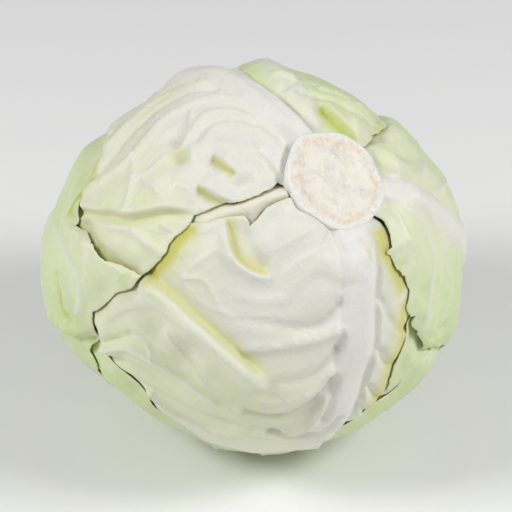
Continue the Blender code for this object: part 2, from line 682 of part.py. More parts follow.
def leaf_r():
    """The top right leaf, folded beside the stem."""
    fold = seen((316, 104), (328, 114), (344, 127), (362, 144))
    return Leaf(
        "leaf_r", 5, GREENISH, round_stem((82, 74)),
        [
            foot(130, 62),
            seen((365, 145), (370, 140), (378, 131)),
            seen((387, 126), (384, 116), (379, 109)),
            round_stem((56, 62), (50, 78), (44, 96), (36, 114), (24, 130), (4, 144)),
            round_stem(
                (350, 152), (358, 168), (120, 170), (136, 154), (138, 136), (134, 116), (130, 96), (128, 76),
                (128, 56), (130, 34),
            ),
        ],
        ribs=[
            (round_stem((108, 20), (104, 44), (96, 70), (86, 96), (70, 122)), 5.5, 1.8, 1.4),
            (round_stem((90, 60), (72, 72), (60, 84)), 2.0, 1.2, 0.8),
            (round_stem((84, 92), (66, 104), (50, 112)), 2.0, 1.2, 0.8),
        ],
        waves=[
            (seen((299, 84), (320, 88), (343, 99), (362, 108)), 2.6, 1.4, 1.0),
            (seen((330, 104), (350, 112), (372, 122)), 2.4, -1.4, -1.0),
        ],
        folds=[(fold, 2.0, 2.4)],
        bumps=[(seen((360, 126), (350, 106)), 4.5, 1.4), (round_stem((44, 118), (70, 140)), 8, -1.8)],
    )


def leaf_u():
    """The big upper left leaf, with its midrib over the top and its blade pleated to the left."""
    over_top = round_stem((124, 66), (126, 84), (128, 104), (130, 124))
    midrib = [*seen((298, 134), (280, 112), (258, 93), (234, 79)), *over_top]
    laterals = [
        seen((215, 92), (190, 98), (169, 110), (148, 136), (133, 158), (108, 177), (86, 194)),
        seen((205, 84), (170, 96), (140, 118), (115, 145)),
        seen((193, 112), (188, 136), (196, 160)),
        seen((132, 162), (134, 180), (131, 196), (125, 214)),
    ]
    pleat = seen((86, 208), (113, 210), (125, 216), (138, 216), (160, 210), (178, 209), (195, 211))
    crease = seen((103, 143), (97, 162), (86, 187), (75, 210), (71, 224))
    return Leaf(
        "leaf_u", 6, PALE, seen((150, 130)),
        [
            seen((313, 131), (302, 121), (290, 112), (277, 97), (262, 84), (252, 75)),
            [*seen((242, 69)), *round_stem((108, 70), (104, 90), (100, 110), (98, 130))],
            round_stem((98, 146), (120, 162), (160, 160), (178, 144), (176, 124), (170, 106), (168, 94)),
            seen((66, 170), (58, 196), (56, 214), (62, 236), (84, 258), (104, 274), (122, 284)),
            seen((134, 278), (146, 269), (161, 253), (169, 238), (184, 226)),
            seen((191, 213), (203, 210), (214, 205), (228, 202), (242, 201), (256, 196), (270, 188)),
            seen((279, 178), (284, 180)),
            foot(192, 114),
        ],
        ribs=[
            (midrib, 5.4, 4.6, 1.2),
            *((v, 1.9, 1.9, 1.1) for v in laterals),
            (seen((80, 216), (104, 222), (129, 229), (154, 251)), 1.4, 0.9, 0.6),
        ],
        waves=[(seen((296, 146), (270, 126), (245, 112), (215, 106)), 3.5, -2.4, -0.8)],
        folds=[(pleat, 2.0, 2.2), (crease, 2.2, 3.4)],
        bumps=[
            (seen((174, 136), (180, 163), (206, 160), (238, 186)), 5, -2.4),
            (seen((222, 164), (214, 190)), 4.5, -2.2),
            (seen((192, 148), (222, 148), (195, 184), (228, 178), (252, 178), (160, 176)), 5.5, 1.8),
            (seen((112, 240), (140, 246)), 9, -1.2),
            (round_stem((140, 110), (120, 134), (156, 140)), 9, -1.8),
        ],
    )


def leaf_l():
    """The left leaf, with a lobe over the front leaf and a curled flap at the lower left."""
    return Leaf(
        "leaf_l", 7, GREENISH, round_stem((200, 110)),
        [
            seen((100, 140), (96, 154), (84, 183), (70, 210)),
            seen((68, 222), (79, 231), (89, 242), (95, 252), (106, 262), (118, 266)),
            seen((138, 276), (131, 286), (124, 290), (112, 294), (100, 306)),
            seen((88, 314), (87, 326), (89, 343), (86, 353), (94, 367)),
            [*seen((94, 375)), *round_stem((228, 124), (234, 138), (228, 152), (204, 160))],
            round_stem((176, 160), (156, 148), (148, 130), (150, 110), (153, 94)),
        ],
        ribs=[
            (seen((55, 222), (62, 240), (72, 268), (80, 290), (78, 312)), 1.8, 1.4, 0.9),
            (round_stem((172, 100), (180, 118), (194, 134), (212, 146)), 2.4, 1.6, 1.0),
            (round_stem((186, 104), (200, 116), (216, 124)), 2.0, 1.2, 0.8),
        ],
        waves=[
            (seen((57, 276), (61, 290), (64, 305), (69, 319)), 2.4, -2.6, -3.0),
            (seen((104, 150), (92, 178), (78, 208), (73, 222)), 3.9, -4.0, -4.4),
            (seen((74, 240), (96, 262), (112, 276)), 5.0, 1.4, 1.0),
        ],
        bumps=[
            (seen((52, 316), (84, 344)), 4.5, 1.8),
            (seen((100, 292), (84, 262)), 6, -1.4),
            (round_stem((206, 134), (184, 146)), 8, -1.8),
        ],
        free=0.35,
    )


def main():
    for old in list(bpy.data.objects):
        bpy.data.objects.remove(old)
    pile = Pile()
    make_heart(pile)
    make_stem()
    leaves = [leaf_c(), leaf_a(), leaf_b(), leaf_s(), leaf_r(), leaf_u(), leaf_l()]
    for k, leaf in enumerate(leaves):
        make_leaf(leaf, leaves[k + 1 :], pile, rests=leaf.name == "leaf_b")


main()
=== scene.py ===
import math

import bmesh
import bpy
import numpy as np
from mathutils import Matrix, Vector, noise
from mathutils.bvhtree import BVHTree
from mathutils.geometry import delaunay_2d_cdt
from mathutils.kdtree import KDTree


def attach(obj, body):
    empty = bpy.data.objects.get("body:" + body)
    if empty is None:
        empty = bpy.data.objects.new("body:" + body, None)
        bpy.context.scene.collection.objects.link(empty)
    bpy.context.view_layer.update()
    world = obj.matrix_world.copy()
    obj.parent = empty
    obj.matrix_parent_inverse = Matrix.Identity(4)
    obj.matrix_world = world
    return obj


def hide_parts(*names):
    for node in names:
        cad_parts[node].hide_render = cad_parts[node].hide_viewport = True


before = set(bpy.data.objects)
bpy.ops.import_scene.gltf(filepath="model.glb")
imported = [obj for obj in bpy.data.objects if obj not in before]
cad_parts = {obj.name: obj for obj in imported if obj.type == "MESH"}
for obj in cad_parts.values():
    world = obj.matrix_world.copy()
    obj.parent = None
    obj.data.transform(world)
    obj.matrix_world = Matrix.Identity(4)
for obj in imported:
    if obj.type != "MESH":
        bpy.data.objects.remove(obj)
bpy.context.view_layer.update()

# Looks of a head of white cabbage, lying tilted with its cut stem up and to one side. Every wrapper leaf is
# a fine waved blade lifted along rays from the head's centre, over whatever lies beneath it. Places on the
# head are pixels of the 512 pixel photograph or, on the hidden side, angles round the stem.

MM = 0.001

# Photograph's view of the head
PIXEL = 0.4 * MM
PHOTO_MIDDLE = (256.0, 256.0)
PHOTO_WIDTH = 512
HEAD_PIXEL = (252.0, 260.0)
CAMERA_AWAY = 900 * MM
CAMERA_DOWN = math.radians(35)
SENSOR = 36.0

# Head, as in the part
HEAD_OUTLINE = [
    83.0, 84.0, 81.2, 79.6, 77.0, 77.6, 78.0, 78.0, 76.0, 78.0, 80.4, 81.5,
    83.6, 83.0, 79.4, 75.0, 73.4, 74.8, 77.4, 78.0, 79.4, 80.6, 83.6, 85.0,
]
HEAD_FRONT = 77 * MM
HEAD_BACK = 79 * MM
MEAN_RADIUS = 79 * MM
HEAD_LOW = 76.6 * MM
SPOT_CLEAR = 0.6 * MM
HEAD_CENTRE = Vector((-0.9 * MM, -0.3 * MM, HEAD_LOW))

# Stem, as in the part
STEM_AZIMUTH = math.radians(44)
STEM_TILT = math.radians(35.4)
STEM_DIP = 2.0 * MM
STEM_DIP_SPREAD = math.radians(24)
STEM_CUT = 75.2 * MM
STEM_ROOT = 64.5 * MM
STEM_REACH = math.radians(15.0)
STEM_CORNERS = math.radians(0.35)
LEAF_FOOT = math.radians(-0.15)
FOOT_REACH = 13.0  # degrees: less than the stem's, so that a leaf's foot follows the stem's side
KNIFE_REACH = math.radians(24)
LEAST_FLOOR_SLOPE = 0.3  # directions nearer level than this are taken to reach the floor no sooner
ROOT_SPREAD = 1.6  # the heart stays below the stem out to this many times the stem's reach
LEAST_ROOT_SLOPE = 0.9
STEM_SKIRT = (1.2, 2.4, 4.0, 6.5, 9.5)  # mm below the cut face, the rows of points down the stem's side
STEM_RING = 0.80  # where the brownish ring lies, as a share of the cut face's radius

# Layers
HEART_DEPTH = 3.6 * MM  # below the innermost leaf that covers it
HEART_MARGIN = 1.0 * MM  # how far the margins of the heart's own leaves stand out
HEART_CREASE = 0.5 * MM
HEART_TURNS = 3  # how many of them wind round it
HEART_SLANT = 0.55  # turns for each radian away from the stem
HEART_SOFT = 0.1  # the share of a turn over which such a margin falls
HEART_FADE = 0.6  # radians from the poles over which they grow
LAYER = 3.2 * MM
DIP_OUT = 8 * MM
DIP_IN = 2.5 * MM
BLADE = 1.15 * MM
MARGIN_BLADE = 0.55 * MM
MARGIN_WIDTH = 7 * MM
GAP = 0.15 * MM
LEAST_BLADE = 0.4 * MM
UNEVEN = 0.75 * MM
UNEVEN_WAVES = 7
RUFFLE = 2.2 * MM
RUFFLE_WIDTH = 9 * MM
RUFFLE_LENGTH = 30 * MM
RUFFLE_FROM = (math.radians(45), math.radians(85))
FOLD_WIDTH = 1.3 * MM
FOLD_RISE, FOLD_DROP = 9 * MM, 7 * MM  # how far from a fold its two sides ease back
FOLD_REACH = 30 * MM
LINE_ENDS = 6  # folds and ripples fade out over 1 / 6 of their length at each end
CREASE = 2.2
BROAD_RIB = 4.0  # mm: a rib of this half width or more has a flat back
BLISTERS = ((12 * MM, 0.32 * MM), (5 * MM, 0.12 * MM))  # (size, height) of the blade's small unevenness
HUG = 5.0 * MM  # how far a margin may sink towards what it lies on
HUG_WIDTH = 15 * MM
RELIEF = 1.3  # how much deeper the waves are than in the leaves' lists

# Colouring of the leaves
RIB_FULL, VEIN_FULL = 2.0 * MM, 0.9 * MM  # heights at which a rib and a vein are fully white
VEIN_WHITE = 0.9
UNDER_SHADE, UNDER_WIDTH = 0.55, 1.8 * MM  # the shade beside a margin that lies above
MARGIN_THIN = 1.6 * MM
GREEN_FROM, GREEN_OVER = 18, 50  # degrees from the stem, where a leaf turns green and over how many more
GREEN_PATCH, GREEN_CHANGE = 26 * MM, 0.2

# Colours
MARGIN_PALE = (0.80, 0.82, 0.64)
CUT_WHITE = (0.88, 0.865, 0.83)
PITH, PITH_PALE, BARK_RING = (0.85, 0.79, 0.67), (0.90, 0.87, 0.79), (0.79, 0.57, 0.40)
CREAM, LEAF_PALE, LEAF_FRESH = (0.80, 0.795, 0.71), (0.755, 0.80, 0.54), (0.62, 0.74, 0.36)
# The second and third: the yellow and the green painted as shade into gaps, creases and beside margins that
# lie above; the yellow also colours a streak on the front leaf's shaved midrib.
RIB_WHITE, SHADE_AND_STREAK_YELLOW, PAINTED_SHADE_GREEN = (0.80, 0.79, 0.735), (0.65, 0.63, 0.15), (0.52, 0.60, 0.10)
INNER_RIB = (0.84, 0.80, 0.70)
FLOOR_PALE = (0.88, 0.88, 0.88)

# Room: each light has a place from the camera's aim, a size and a power
FLOOR_HALF = 3.0
WORLD_LIGHT = 0.30
LIGHTS = (
    ("right_light", (0.92, -0.34, 0.92), 0.42, 9.2),
    ("left_light", (-0.94, -0.38, 0.90), 0.42, 8.9),
)

# Triangle sizes
COARSE = 1.0
EDGE_STEP = 1.1 * MM * COARSE
LINE_STEP = 1.5 * MM * COARSE
FILL_STEP = 1.5 * MM * COARSE
LIFT_CELL = 1.3 * MM * COARSE
CURVE_STEP = 0.05  # of each part of a smooth curve
SHORTEST = 0.3  # of a step, the shortest side kept in a margin
AIMS = 8  # steps in finding the head's surface at a pixel
BRANCH_PARTS = 7
SPREAD_CELLS = 2
CLEAR_PASSES = 2
FOLD_ROWS = (0.6, 1.2)  # times a fold's width, where rows of points run along it
RIB_ROWS = (0.7, 1.2)  # the same for a broad rib
RIM_BULGE = 0.35  # times the blade's thickness
STEM_SIDES, STEM_RINGS = ((220, 64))


def unit(v):
    v = np.asarray(v, float)
    return v / np.linalg.norm(v, axis=-1, keepdims=True)


STEM = np.array([
    math.sin(STEM_TILT) * math.cos(STEM_AZIMUTH),
    math.sin(STEM_TILT) * math.sin(STEM_AZIMUTH),
    math.cos(STEM_TILT),
])
STEM_RIGHT = unit(np.array([1.0, 0.0, 0.0]) - STEM[0] * STEM)
STEM_UP = np.cross(STEM, STEM_RIGHT)
DOWN = np.array([0.0, -math.cos(CAMERA_DOWN), -math.sin(CAMERA_DOWN)])
AXES = np.array([
    [1.0, 0.0, 0.0],
    [0.0, math.sin(CAMERA_DOWN), math.cos(CAMERA_DOWN)],
    [0.0, -math.cos(CAMERA_DOWN), math.sin(CAMERA_DOWN)],
])  # right, up and to the camera as the photograph shows it, in the scene


def smoothstep(x):
    x = np.clip(x, 0, 1)
    return x * x * (3 - 2 * x)


def between(a, b, c, d, t):
    """A smooth curve's point at share t from b to c, with a and d its points before and after."""
    return b + 0.5 * t * (c - a + t * (2 * a - 5 * b + 4 * c - d + t * (3 * (b - c) + d - a)))


def outline_radius(azimuth):
    count = len(HEAD_OUTLINE)
    place = (azimuth / (2 * math.pi) % 1.0) * count
    low = np.floor(place).astype(int)
    a, b, c, d = (np.array(HEAD_OUTLINE)[(low + k) % count] for k in (-1, 0, 1, 2))
    return MM * between(a, b, c, d, place - low)


def head_radius(d):
    """The head's outer surface along the directions d, a little dished round the stem."""
    across = 1.0 - d[..., 2] ** 2
    pole = np.where(d[..., 2] > 0, HEAD_FRONT, HEAD_BACK)
    radius = pole + (outline_radius(np.arctan2(d[..., 1], d[..., 0])) - pole) * across
    from_stem = np.arccos(np.clip(d @ STEM, -1, 1))
    return radius - STEM_DIP * np.exp(-((from_stem / STEM_DIP_SPREAD) ** 2))


def floor_radius(d, below):
    """How far the directions d reach before they pass a plane so far below the centre."""
    return below / np.maximum(d @ DOWN, LEAST_FLOOR_SLOPE)


def turn_and_reach(d):
    """The turn of directions round the stem, and their angle from it."""
    return np.arctan2(d @ STEM_UP, d @ STEM_RIGHT), np.arccos(np.clip(d @ STEM, -1, 1))


def stem_reach(turn):
    return STEM_REACH + STEM_CORNERS * (np.cos(5 * turn + 0.6) + 0.5 * np.cos(8 * turn))


def seen(*pixels):
    """The directions of the head's surface at pixels of the photograph, given as (x, y)."""
    middle = np.array([PHOTO_MIDDLE[0] - HEAD_PIXEL[0], HEAD_PIXEL[1] - PHOTO_MIDDLE[1]]) * PIXEL
    eye = np.array([*middle, CAMERA_AWAY])
    found = []
    for x, y in pixels:
        aim = np.array([(x - HEAD_PIXEL[0]) * PIXEL, (HEAD_PIXEL[1] - y) * PIXEL, 0.0])
        ray = unit(aim - eye)
        along = -(eye @ ray)
        radius = MEAN_RADIUS
        for _ in range(AIMS):
            depth = max(along**2 - eye @ eye + radius**2, 0.0)
            hit = unit(eye + (along - math.sqrt(depth)) * ray)
            radius = float(head_radius(hit))
        found.append(hit)
    return found


def round_stem(*angles):
    """Directions given as (turn, reach): degrees round the stem from the right, and away from it."""
    found = []
    for turn, reach in np.radians(angles):
        side = math.cos(turn) * STEM_RIGHT + math.sin(turn) * STEM_UP
        found.append(math.cos(reach) * STEM + math.sin(reach) * side)
    return found


def foot(first, last):
    """A leaf's foot along the stem's side, from one turn to another."""
    return round_stem(*[(turn, FOOT_REACH) for turn in np.linspace(first, last, 5)])


def curve(points, step):
    """Even points, about a step apart, along a smooth curve through the given directions."""
    p = np.array([2 * points[0] - points[1], *points, 2 * points[-1] - points[-2]])
    shares = np.arange(0.0, 1.0, CURVE_STEP)
    fine = [between(*p[k : k + 4], t) for k in range(len(points) - 1) for t in shares]
    fine = unit(np.array([*fine, points[-1]]))
    length = np.concatenate([[0.0], np.cumsum(np.linalg.norm(np.diff(fine, axis=0), axis=1))]) * MEAN_RADIUS
    count = max(1, round(length[-1] / step))
    at = np.linspace(0.0, length[-1], count + 1)
    return unit(np.stack([np.interp(at, length, fine[:, k]) for k in range(3)], axis=1))


def branches(stalk, shares, sides, length, width, height, spread=(62, 30)):
    """Veins that leave a stalk on the given sides (1 left, -1 right) and bend towards its tip."""
    line = curve(stalk, 2 * MM)
    found = []
    for k, share in enumerate(shares):
        at = int(share * (len(line) - 2))
        for side in sides:
            d, ahead = line[at], unit(line[at + 1] - line[at])
            points = [d]
            for t in np.linspace(0, 1, BRANCH_PARTS):
                turn = side * math.radians(spread[0] + (spread[1] - spread[0]) * t)
                step = math.cos(turn) * ahead + math.sin(turn) * np.cross(d, ahead)
                d = unit(d + step * length / BRANCH_PARTS * MM / MEAN_RADIUS)
                ahead = unit(ahead - (ahead @ d) * d)
                points.append(d)
            found.append((points, width, height, 0.3 * height))
    return found


def clear_of_stem(d):
    """The directions d, those nearer the stem than a leaf's foot moved out to it."""
    turn, reach = turn_and_reach(d)
    reach = np.maximum(reach, stem_reach(turn) + LEAF_FOOT)[:, None]
    side = np.cos(turn)[:, None] * STEM_RIGHT + np.sin(turn)[:, None] * STEM_UP
    return np.cos(reach) * STEM + np.sin(reach) * side


def wander(place):
    """A smooth random step, the same in each run."""
    return np.array([noise.noise(place + k * Vector((31.7, 11.3, 5.1))) for k in range(3)])


def ragged(points, amount, seed):
    """The points of a margin, each moved a little along the head."""
    shift = Vector((seed * 3.7, 0, 0))
    moved = [wander(Vector(p) * 26 + shift) + 0.5 * wander(Vector(p) * 75 + shift) for p in points]
    return unit(points + np.array(moved) * amount * MM / MEAN_RADIUS)


def loop(strokes, torn, seed):
    """A closed outline of smooth strokes, each ending where the next begins, at a sharp corner."""
    starts = [stroke[0] for stroke in strokes]
    closed = [[*stroke, after] for stroke, after in zip(strokes, [*starts[1:], starts[0]])]
    points = np.concatenate([curve(stroke, EDGE_STEP)[:-1] for stroke in closed])
    points = clear_of_stem(ragged(points, torn, seed))
    gaps = np.linalg.norm(points - np.roll(points, 1, axis=0), axis=1) * MEAN_RADIUS
    return points[gaps > SHORTEST * EDGE_STEP]


class Map:
    """A flat map of the head round a leaf's middle, with true distances from that middle."""

    def __init__(self, middle):
        self.middle = unit(middle)
        self.right = unit(np.cross([0.3, 0.9, 0.1], self.middle))
        self.up = np.cross(self.middle, self.right)

    def flat(self, d):
        angle = np.arccos(np.clip(d @ self.middle, -1, 1))
        side = np.stack([d @ self.right, d @ self.up], axis=-1)
        size = np.maximum(np.linalg.norm(side, axis=-1), 1e-9)
        return side * (MEAN_RADIUS * angle / size)[..., None]

    def direction(self, p):
        angle = np.linalg.norm(p, axis=-1) / MEAN_RADIUS
        share = (np.sin(angle) / np.maximum(angle, 1e-9))[..., None]
        side = p / MEAN_RADIUS * share
        along = side[..., :1] * self.right + side[..., 1:] * self.up
        return unit(along + np.cos(angle)[..., None] * self.middle)


def to_segment(p, a, b):
    """(distance, share along, side) of the points p to the segments from a to b, point by point."""
    run, off = b - a, p - a
    share = np.clip((off * run).sum(-1) / np.maximum((run**2).sum(-1), 1e-18), 0, 1)
    away = off - share[..., None] * run
    return np.sqrt((away**2).sum(-1)), share, np.sign(run[..., 0] * off[..., 1] - run[..., 1] * off[..., 0])


def to_line(p, q, far):
    """(distance, share along, side) of each point p to the line through the points q.

    Only places nearer than far are measured; the others are told to be a metre away."""
    distance, share, side = np.ones(len(p)), np.zeros(len(p)), np.zeros(len(p))
    close = np.nonzero(((p > q.min(0) - far) & (p < q.max(0) + far)).all(1))[0]
    best, at, turn = np.ones(len(close)), np.zeros(len(close)), np.zeros(len(close))
    for k in range(len(q) - 1):
        away, along, which = to_segment(p[close], q[k], q[k + 1])
        closer = away < best
        best = np.where(closer, away, best)
        at = np.where(closer, (k + along) / (len(q) - 1), at)
        turn = np.where(closer, which, turn)
    distance[close], share[close], side[close] = best, at, turn
    return distance, share, side


def tree_of(points):
    tree = KDTree(len(points))
    for k, q in enumerate(points):
        tree.insert((*q, 0.0), k)
    tree.balance()
    return tree


def within(p, corners):
    """Whether each point p lies inside the closed outline."""
    found = np.zeros(len(p), bool)
    for a, b in zip(corners, np.roll(corners, -1, axis=0)):
        rise = b[1] - a[1]
        if rise:
            crosses = (a[1] > p[:, 1]) != (b[1] > p[:, 1])
            found ^= crosses & (p[:, 0] < a[0] + (p[:, 1] - a[1]) * (b[0] - a[0]) / rise)
    return found


def rough_at(d, size, seed):
    """Smooth noise, mostly between -1 and 1, with bumps of about this size over the head."""
    shift = Vector((seed * 7.3, seed * 3.1, 0))
    return np.array([noise.noise(Vector(v) + shift) for v in (d * (MEAN_RADIUS / size)).tolist()])


def near(d, centre, radius):
    """1 at the centre, falling to 0 over about this many millimetres."""
    away = np.arccos(np.clip(d @ centre, -1, 1)) * MEAN_RADIUS / (radius * MM)
    return np.exp(-(away**2))


class Leaf:
    """A wrapper leaf: where it lies on the head, what stands out of it and how it is coloured.

    ribs: (points, half width, height at the first point, height at the last), in mm, on the outer face.
    veins: the same, thin and white.
    waves: the same, but moving both faces; a negative height makes a groove.
    folds: (points, rise left of the line, drop right of it), in mm.
    bumps: (directions, radius, height), in mm; a negative height makes a hollow.
    ripples: (points, half width, height, length of one wave), in mm, waves across a line.
    crumples: (directions, radius, height, size), in mm, creased ground.
    painted_shade_and_streak: (points, half width, strength) of painted yellow-green shade along gaps, folds
    and creases, and once of a yellow-green streak of the leaf's own; 1 or -1 after them keeps its left or
    right.
    hug: how readily the margin sinks onto what lies below it.
    free: how far the margin stands up in waves. torn: how ragged it is.
    cut: (points, half width) shaved by the knife.
    tint: (directions, radius, amount) of more or less green.
    """

    def __init__(self, name, slot, seed, middle, strokes, ribs=(), veins=(), waves=(), folds=(), bumps=(),
                 ripples=(), crumples=(), painted_shade_and_streak=(), cut=(), tint=(), green=0.4, free=1.0, torn=0.5, hug=1.0):
        self.name, self.slot, self.seed, self.map = name, slot, seed, Map(middle[0])
        draw = np.random.default_rng(seed)
        self.uneven = unit(draw.normal(size=(UNEVEN_WAVES, 3))) * draw.uniform(8, 22, UNEVEN_WAVES)[:, None]
        self.phase = draw.uniform(0, 2 * math.pi, UNEVEN_WAVES)
        self.edge = self.map.flat(loop(strokes, torn, seed))
        self.edge_tree = tree_of(self.edge)
        self.ribs, self.veins, self.waves, self.folds, self.ripples, self.painted_shade_and_streak, self.cut = (
            [(self.map.flat(curve(points, LINE_STEP)), *sizes) for points, *sizes in group]
            for group in (ribs, veins, waves, folds, ripples, painted_shade_and_streak, cut)
        )
        self.bumps, self.crumples, self.tint, self.green = bumps, crumples, tint, green
        self.free, self.hug = free, hug

    def margin(self, p):
        """(how far inside the leaf's margin each place on its map is, share of the way round it)."""
        count = len(self.edge)
        at = np.array([self.edge_tree.find((x, y, 0.0))[1] for x, y in p.tolist()])
        before, after = (at - 1) % count, (at + 1) % count
        one, first, _ = to_segment(p, self.edge[before], self.edge[at])
        two, second, _ = to_segment(p, self.edge[at], self.edge[after])
        distance = np.minimum(one, two)
        share = np.where(one < two, before + first, at + second) / count % 1.0
        return np.where(within(p, self.edge), distance, -distance), share

    def height(self, p, lines, widen=1.0):
        total = np.zeros(len(p))
        for q, width, start, end in lines:
            distance, share, _ = to_line(p, q, 3 * width * widen * MM)
            power = 4 if width >= BROAD_RIB else 2
            fall = np.exp(-((distance / (width * widen * MM)) ** power))
            total += (start + (end - start) * share) * MM * fall
        return total

    def wave(self, share):
        """The waves of the margin, from 0 to 1."""
        around = np.linalg.norm(self.edge - np.roll(self.edge, 1, axis=0), axis=1).sum()
        turn = 2 * math.pi * share * round(around / RUFFLE_LENGTH)
        return 0.5 + 0.35 * np.sin(turn + self.phase[0]) + 0.15 * np.sin(2 * turn + self.phase[1])

    def ruffle(self, reach, margin, share):
        """How far the margin's waves stand up."""
        grown = smoothstep((reach - RUFFLE_FROM[0]) / (RUFFLE_FROM[1] - RUFFLE_FROM[0]))
        return self.free * RUFFLE * self.wave(share) * grown * np.exp(-np.abs(margin) / RUFFLE_WIDTH)

    def shift(self, d, p):
        """How far both faces move outward at each direction."""
        moved = RELIEF * self.height(p, self.waves)
        moved += UNEVEN * np.sin(d @ self.uneven.T + self.phase).mean(1) * 2
        for q, rise, drop in self.folds:
            distance, share, side = to_line(p, q, FOLD_REACH)
            strength = smoothstep(LINE_ENDS * share) * smoothstep(LINE_ENDS * (1 - share))
            left = smoothstep(0.5 + 0.5 * side * distance / FOLD_WIDTH)
            high = rise * MM * np.exp(-distance / FOLD_RISE)
            low = drop * MM * np.exp(-distance / FOLD_DROP)
            moved += strength * (left * high - (1 - left) * low)
        for q, width, rise, length in self.ripples:
            distance, share, _ = to_line(p, q, 3 * width * MM)
            run = np.linalg.norm(np.diff(q, axis=0), axis=1).sum() / (length * MM)
            wave = np.sin(2 * math.pi * share * run + 9 * distance / (width * MM) * self.phase[2])
            strength = smoothstep(LINE_ENDS * share) * smoothstep(LINE_ENDS - LINE_ENDS * share)
            moved += rise * MM * strength * wave * np.exp(-((distance / (width * MM)) ** 2))
        for centres, radius, rise in self.bumps:
            for centre in centres:
                moved += rise * MM * near(d, centre, radius)
        for centres, radius, rise, size in self.crumples:
            creased = 1 - CREASE * np.abs(rough_at(d, size * MM, self.seed + 5))
            for centre in centres:
                moved += rise * MM * creased * near(d, centre, radius)
        for k, (size, rise) in enumerate(BLISTERS):
            moved += rise * rough_at(d, size, self.seed + 20 * k)
        return moved


class Pile:
    """The pieces placed so far, felt along rays from outside to the head's centre."""

    def __init__(self):
        self.points, self.faces, self.tree = [], [], None

    def add(self, points, faces):
        count = len(self.points)
        self.points += [Vector(p) for p in points.tolist()]
        self.faces += [tuple(f) for f in (faces + count).tolist()]
        self.tree = BVHTree.FromPolygons(self.points, self.faces)

    def radius(self, d):
        found = np.zeros(len(d))
        for k, ray in enumerate((d @ AXES).tolist()):
            ray = Vector(ray)
            hit = self.tree.ray_cast(2 * MEAN_RADIUS * ray, -ray)[0]
            found[k] = hit.length if hit is not None else 0.0
        return found


def placed(d, radius):
    return (d * radius[:, None]) @ AXES


def covering(leaves, d):
    """How many of the leaves cover each direction, easing in round their margins."""
    found = np.zeros(len(d))
    for other in leaves:
        inside = other.margin(other.map.flat(d))[0]
        found += smoothstep((inside + DIP_OUT) / (DIP_OUT + DIP_IN))
    return found


def faces_of(leaf, above, d):
    """(inner, outer) radius of a leaf before it is lifted clear of what it lies on."""
    p = leaf.map.flat(d)
    covered = covering(above, d)
    margin, share = leaf.margin(p)
    _, reach = turn_and_reach(d)
    thickness = MARGIN_BLADE + (BLADE - MARGIN_BLADE) * smoothstep(margin / MARGIN_WIDTH)
    free = leaf.ruffle(reach, margin, share) * np.clip(1 - covered, 0, 1)
    inner = head_radius(d) - LAYER * covered + leaf.shift(d, p) + free - thickness
    return inner, inner + thickness + leaf.height(p, leaf.ribs) + leaf.height(p, leaf.veins)


def spread(grid, cells):
    """Each cell's highest neighbour within so many cells, then smoothed over the same distance."""
    reach = range(-cells, cells + 1)
    weights = np.array([1 + math.cos(math.pi * k / (cells + 1)) for k in reach])
    for axis in (0, 1):
        grid = np.max([np.roll(grid, k, axis=axis) for k in reach], axis=0)
    for axis in (0, 1):
        grid = sum(w * np.roll(grid, k, axis=axis) for w, k in zip(weights / weights.sum(), reach))
    return grid


def lift_at(p, leaf, above, pile):
    """How far the leaf moves at each place p of its map: out of the pile's way, or down to it."""
    pad = 6 * LIFT_CELL
    low, high = leaf.edge.min(0) - pad, leaf.edge.max(0) + pad
    xs, ys = np.arange(low[0], high[0], LIFT_CELL), np.arange(low[1], high[1], LIFT_CELL)
    cells = np.stack(np.meshgrid(xs, ys, indexing="ij"), axis=-1).reshape(-1, 2)
    margin, share = leaf.margin(cells)
    inside = margin > -LIFT_CELL
    d = leaf.map.direction(cells[inside])
    sink = leaf.hug * HUG * smoothstep(1 - margin / HUG_WIDTH) * (1 - 0.6 * leaf.wave(share))
    need = np.full(len(cells), -HUG)
    need[inside] = np.maximum(pile.radius(d) + GAP - faces_of(leaf, above, d)[0], -sink[inside])
    grid = spread(need.reshape(len(xs), len(ys)), SPREAD_CELLS)
    x, y = (p[:, 0] - low[0]) / LIFT_CELL, (p[:, 1] - low[1]) / LIFT_CELL
    i, j = x.astype(int), y.astype(int)
    s, t = x - i, y - j
    first = grid[i, j] * (1 - s) + grid[i + 1, j] * s
    second = grid[i, j + 1] * (1 - s) + grid[i + 1, j + 1] * s
    return first * (1 - t) + second * t


def spaced(p, kept, gap):
    """The points p that are farther than gap from each of the kept ones."""
    if not len(kept) or not len(p):
        return p
    tree = tree_of(kept)
    return p[np.array([tree.find((x, y, 0.0))[2] > gap for x, y in p.tolist()])]


def beside(q, *distances):
    """The line q, and lines at each distance in mm on both sides of it."""
    run = unit(np.gradient(q, axis=0))
    across = np.stack([-run[:, 1], run[:, 0]], axis=1) * MM
    return [q, *(q + side * distance * across for distance in distances for side in (1, -1))]


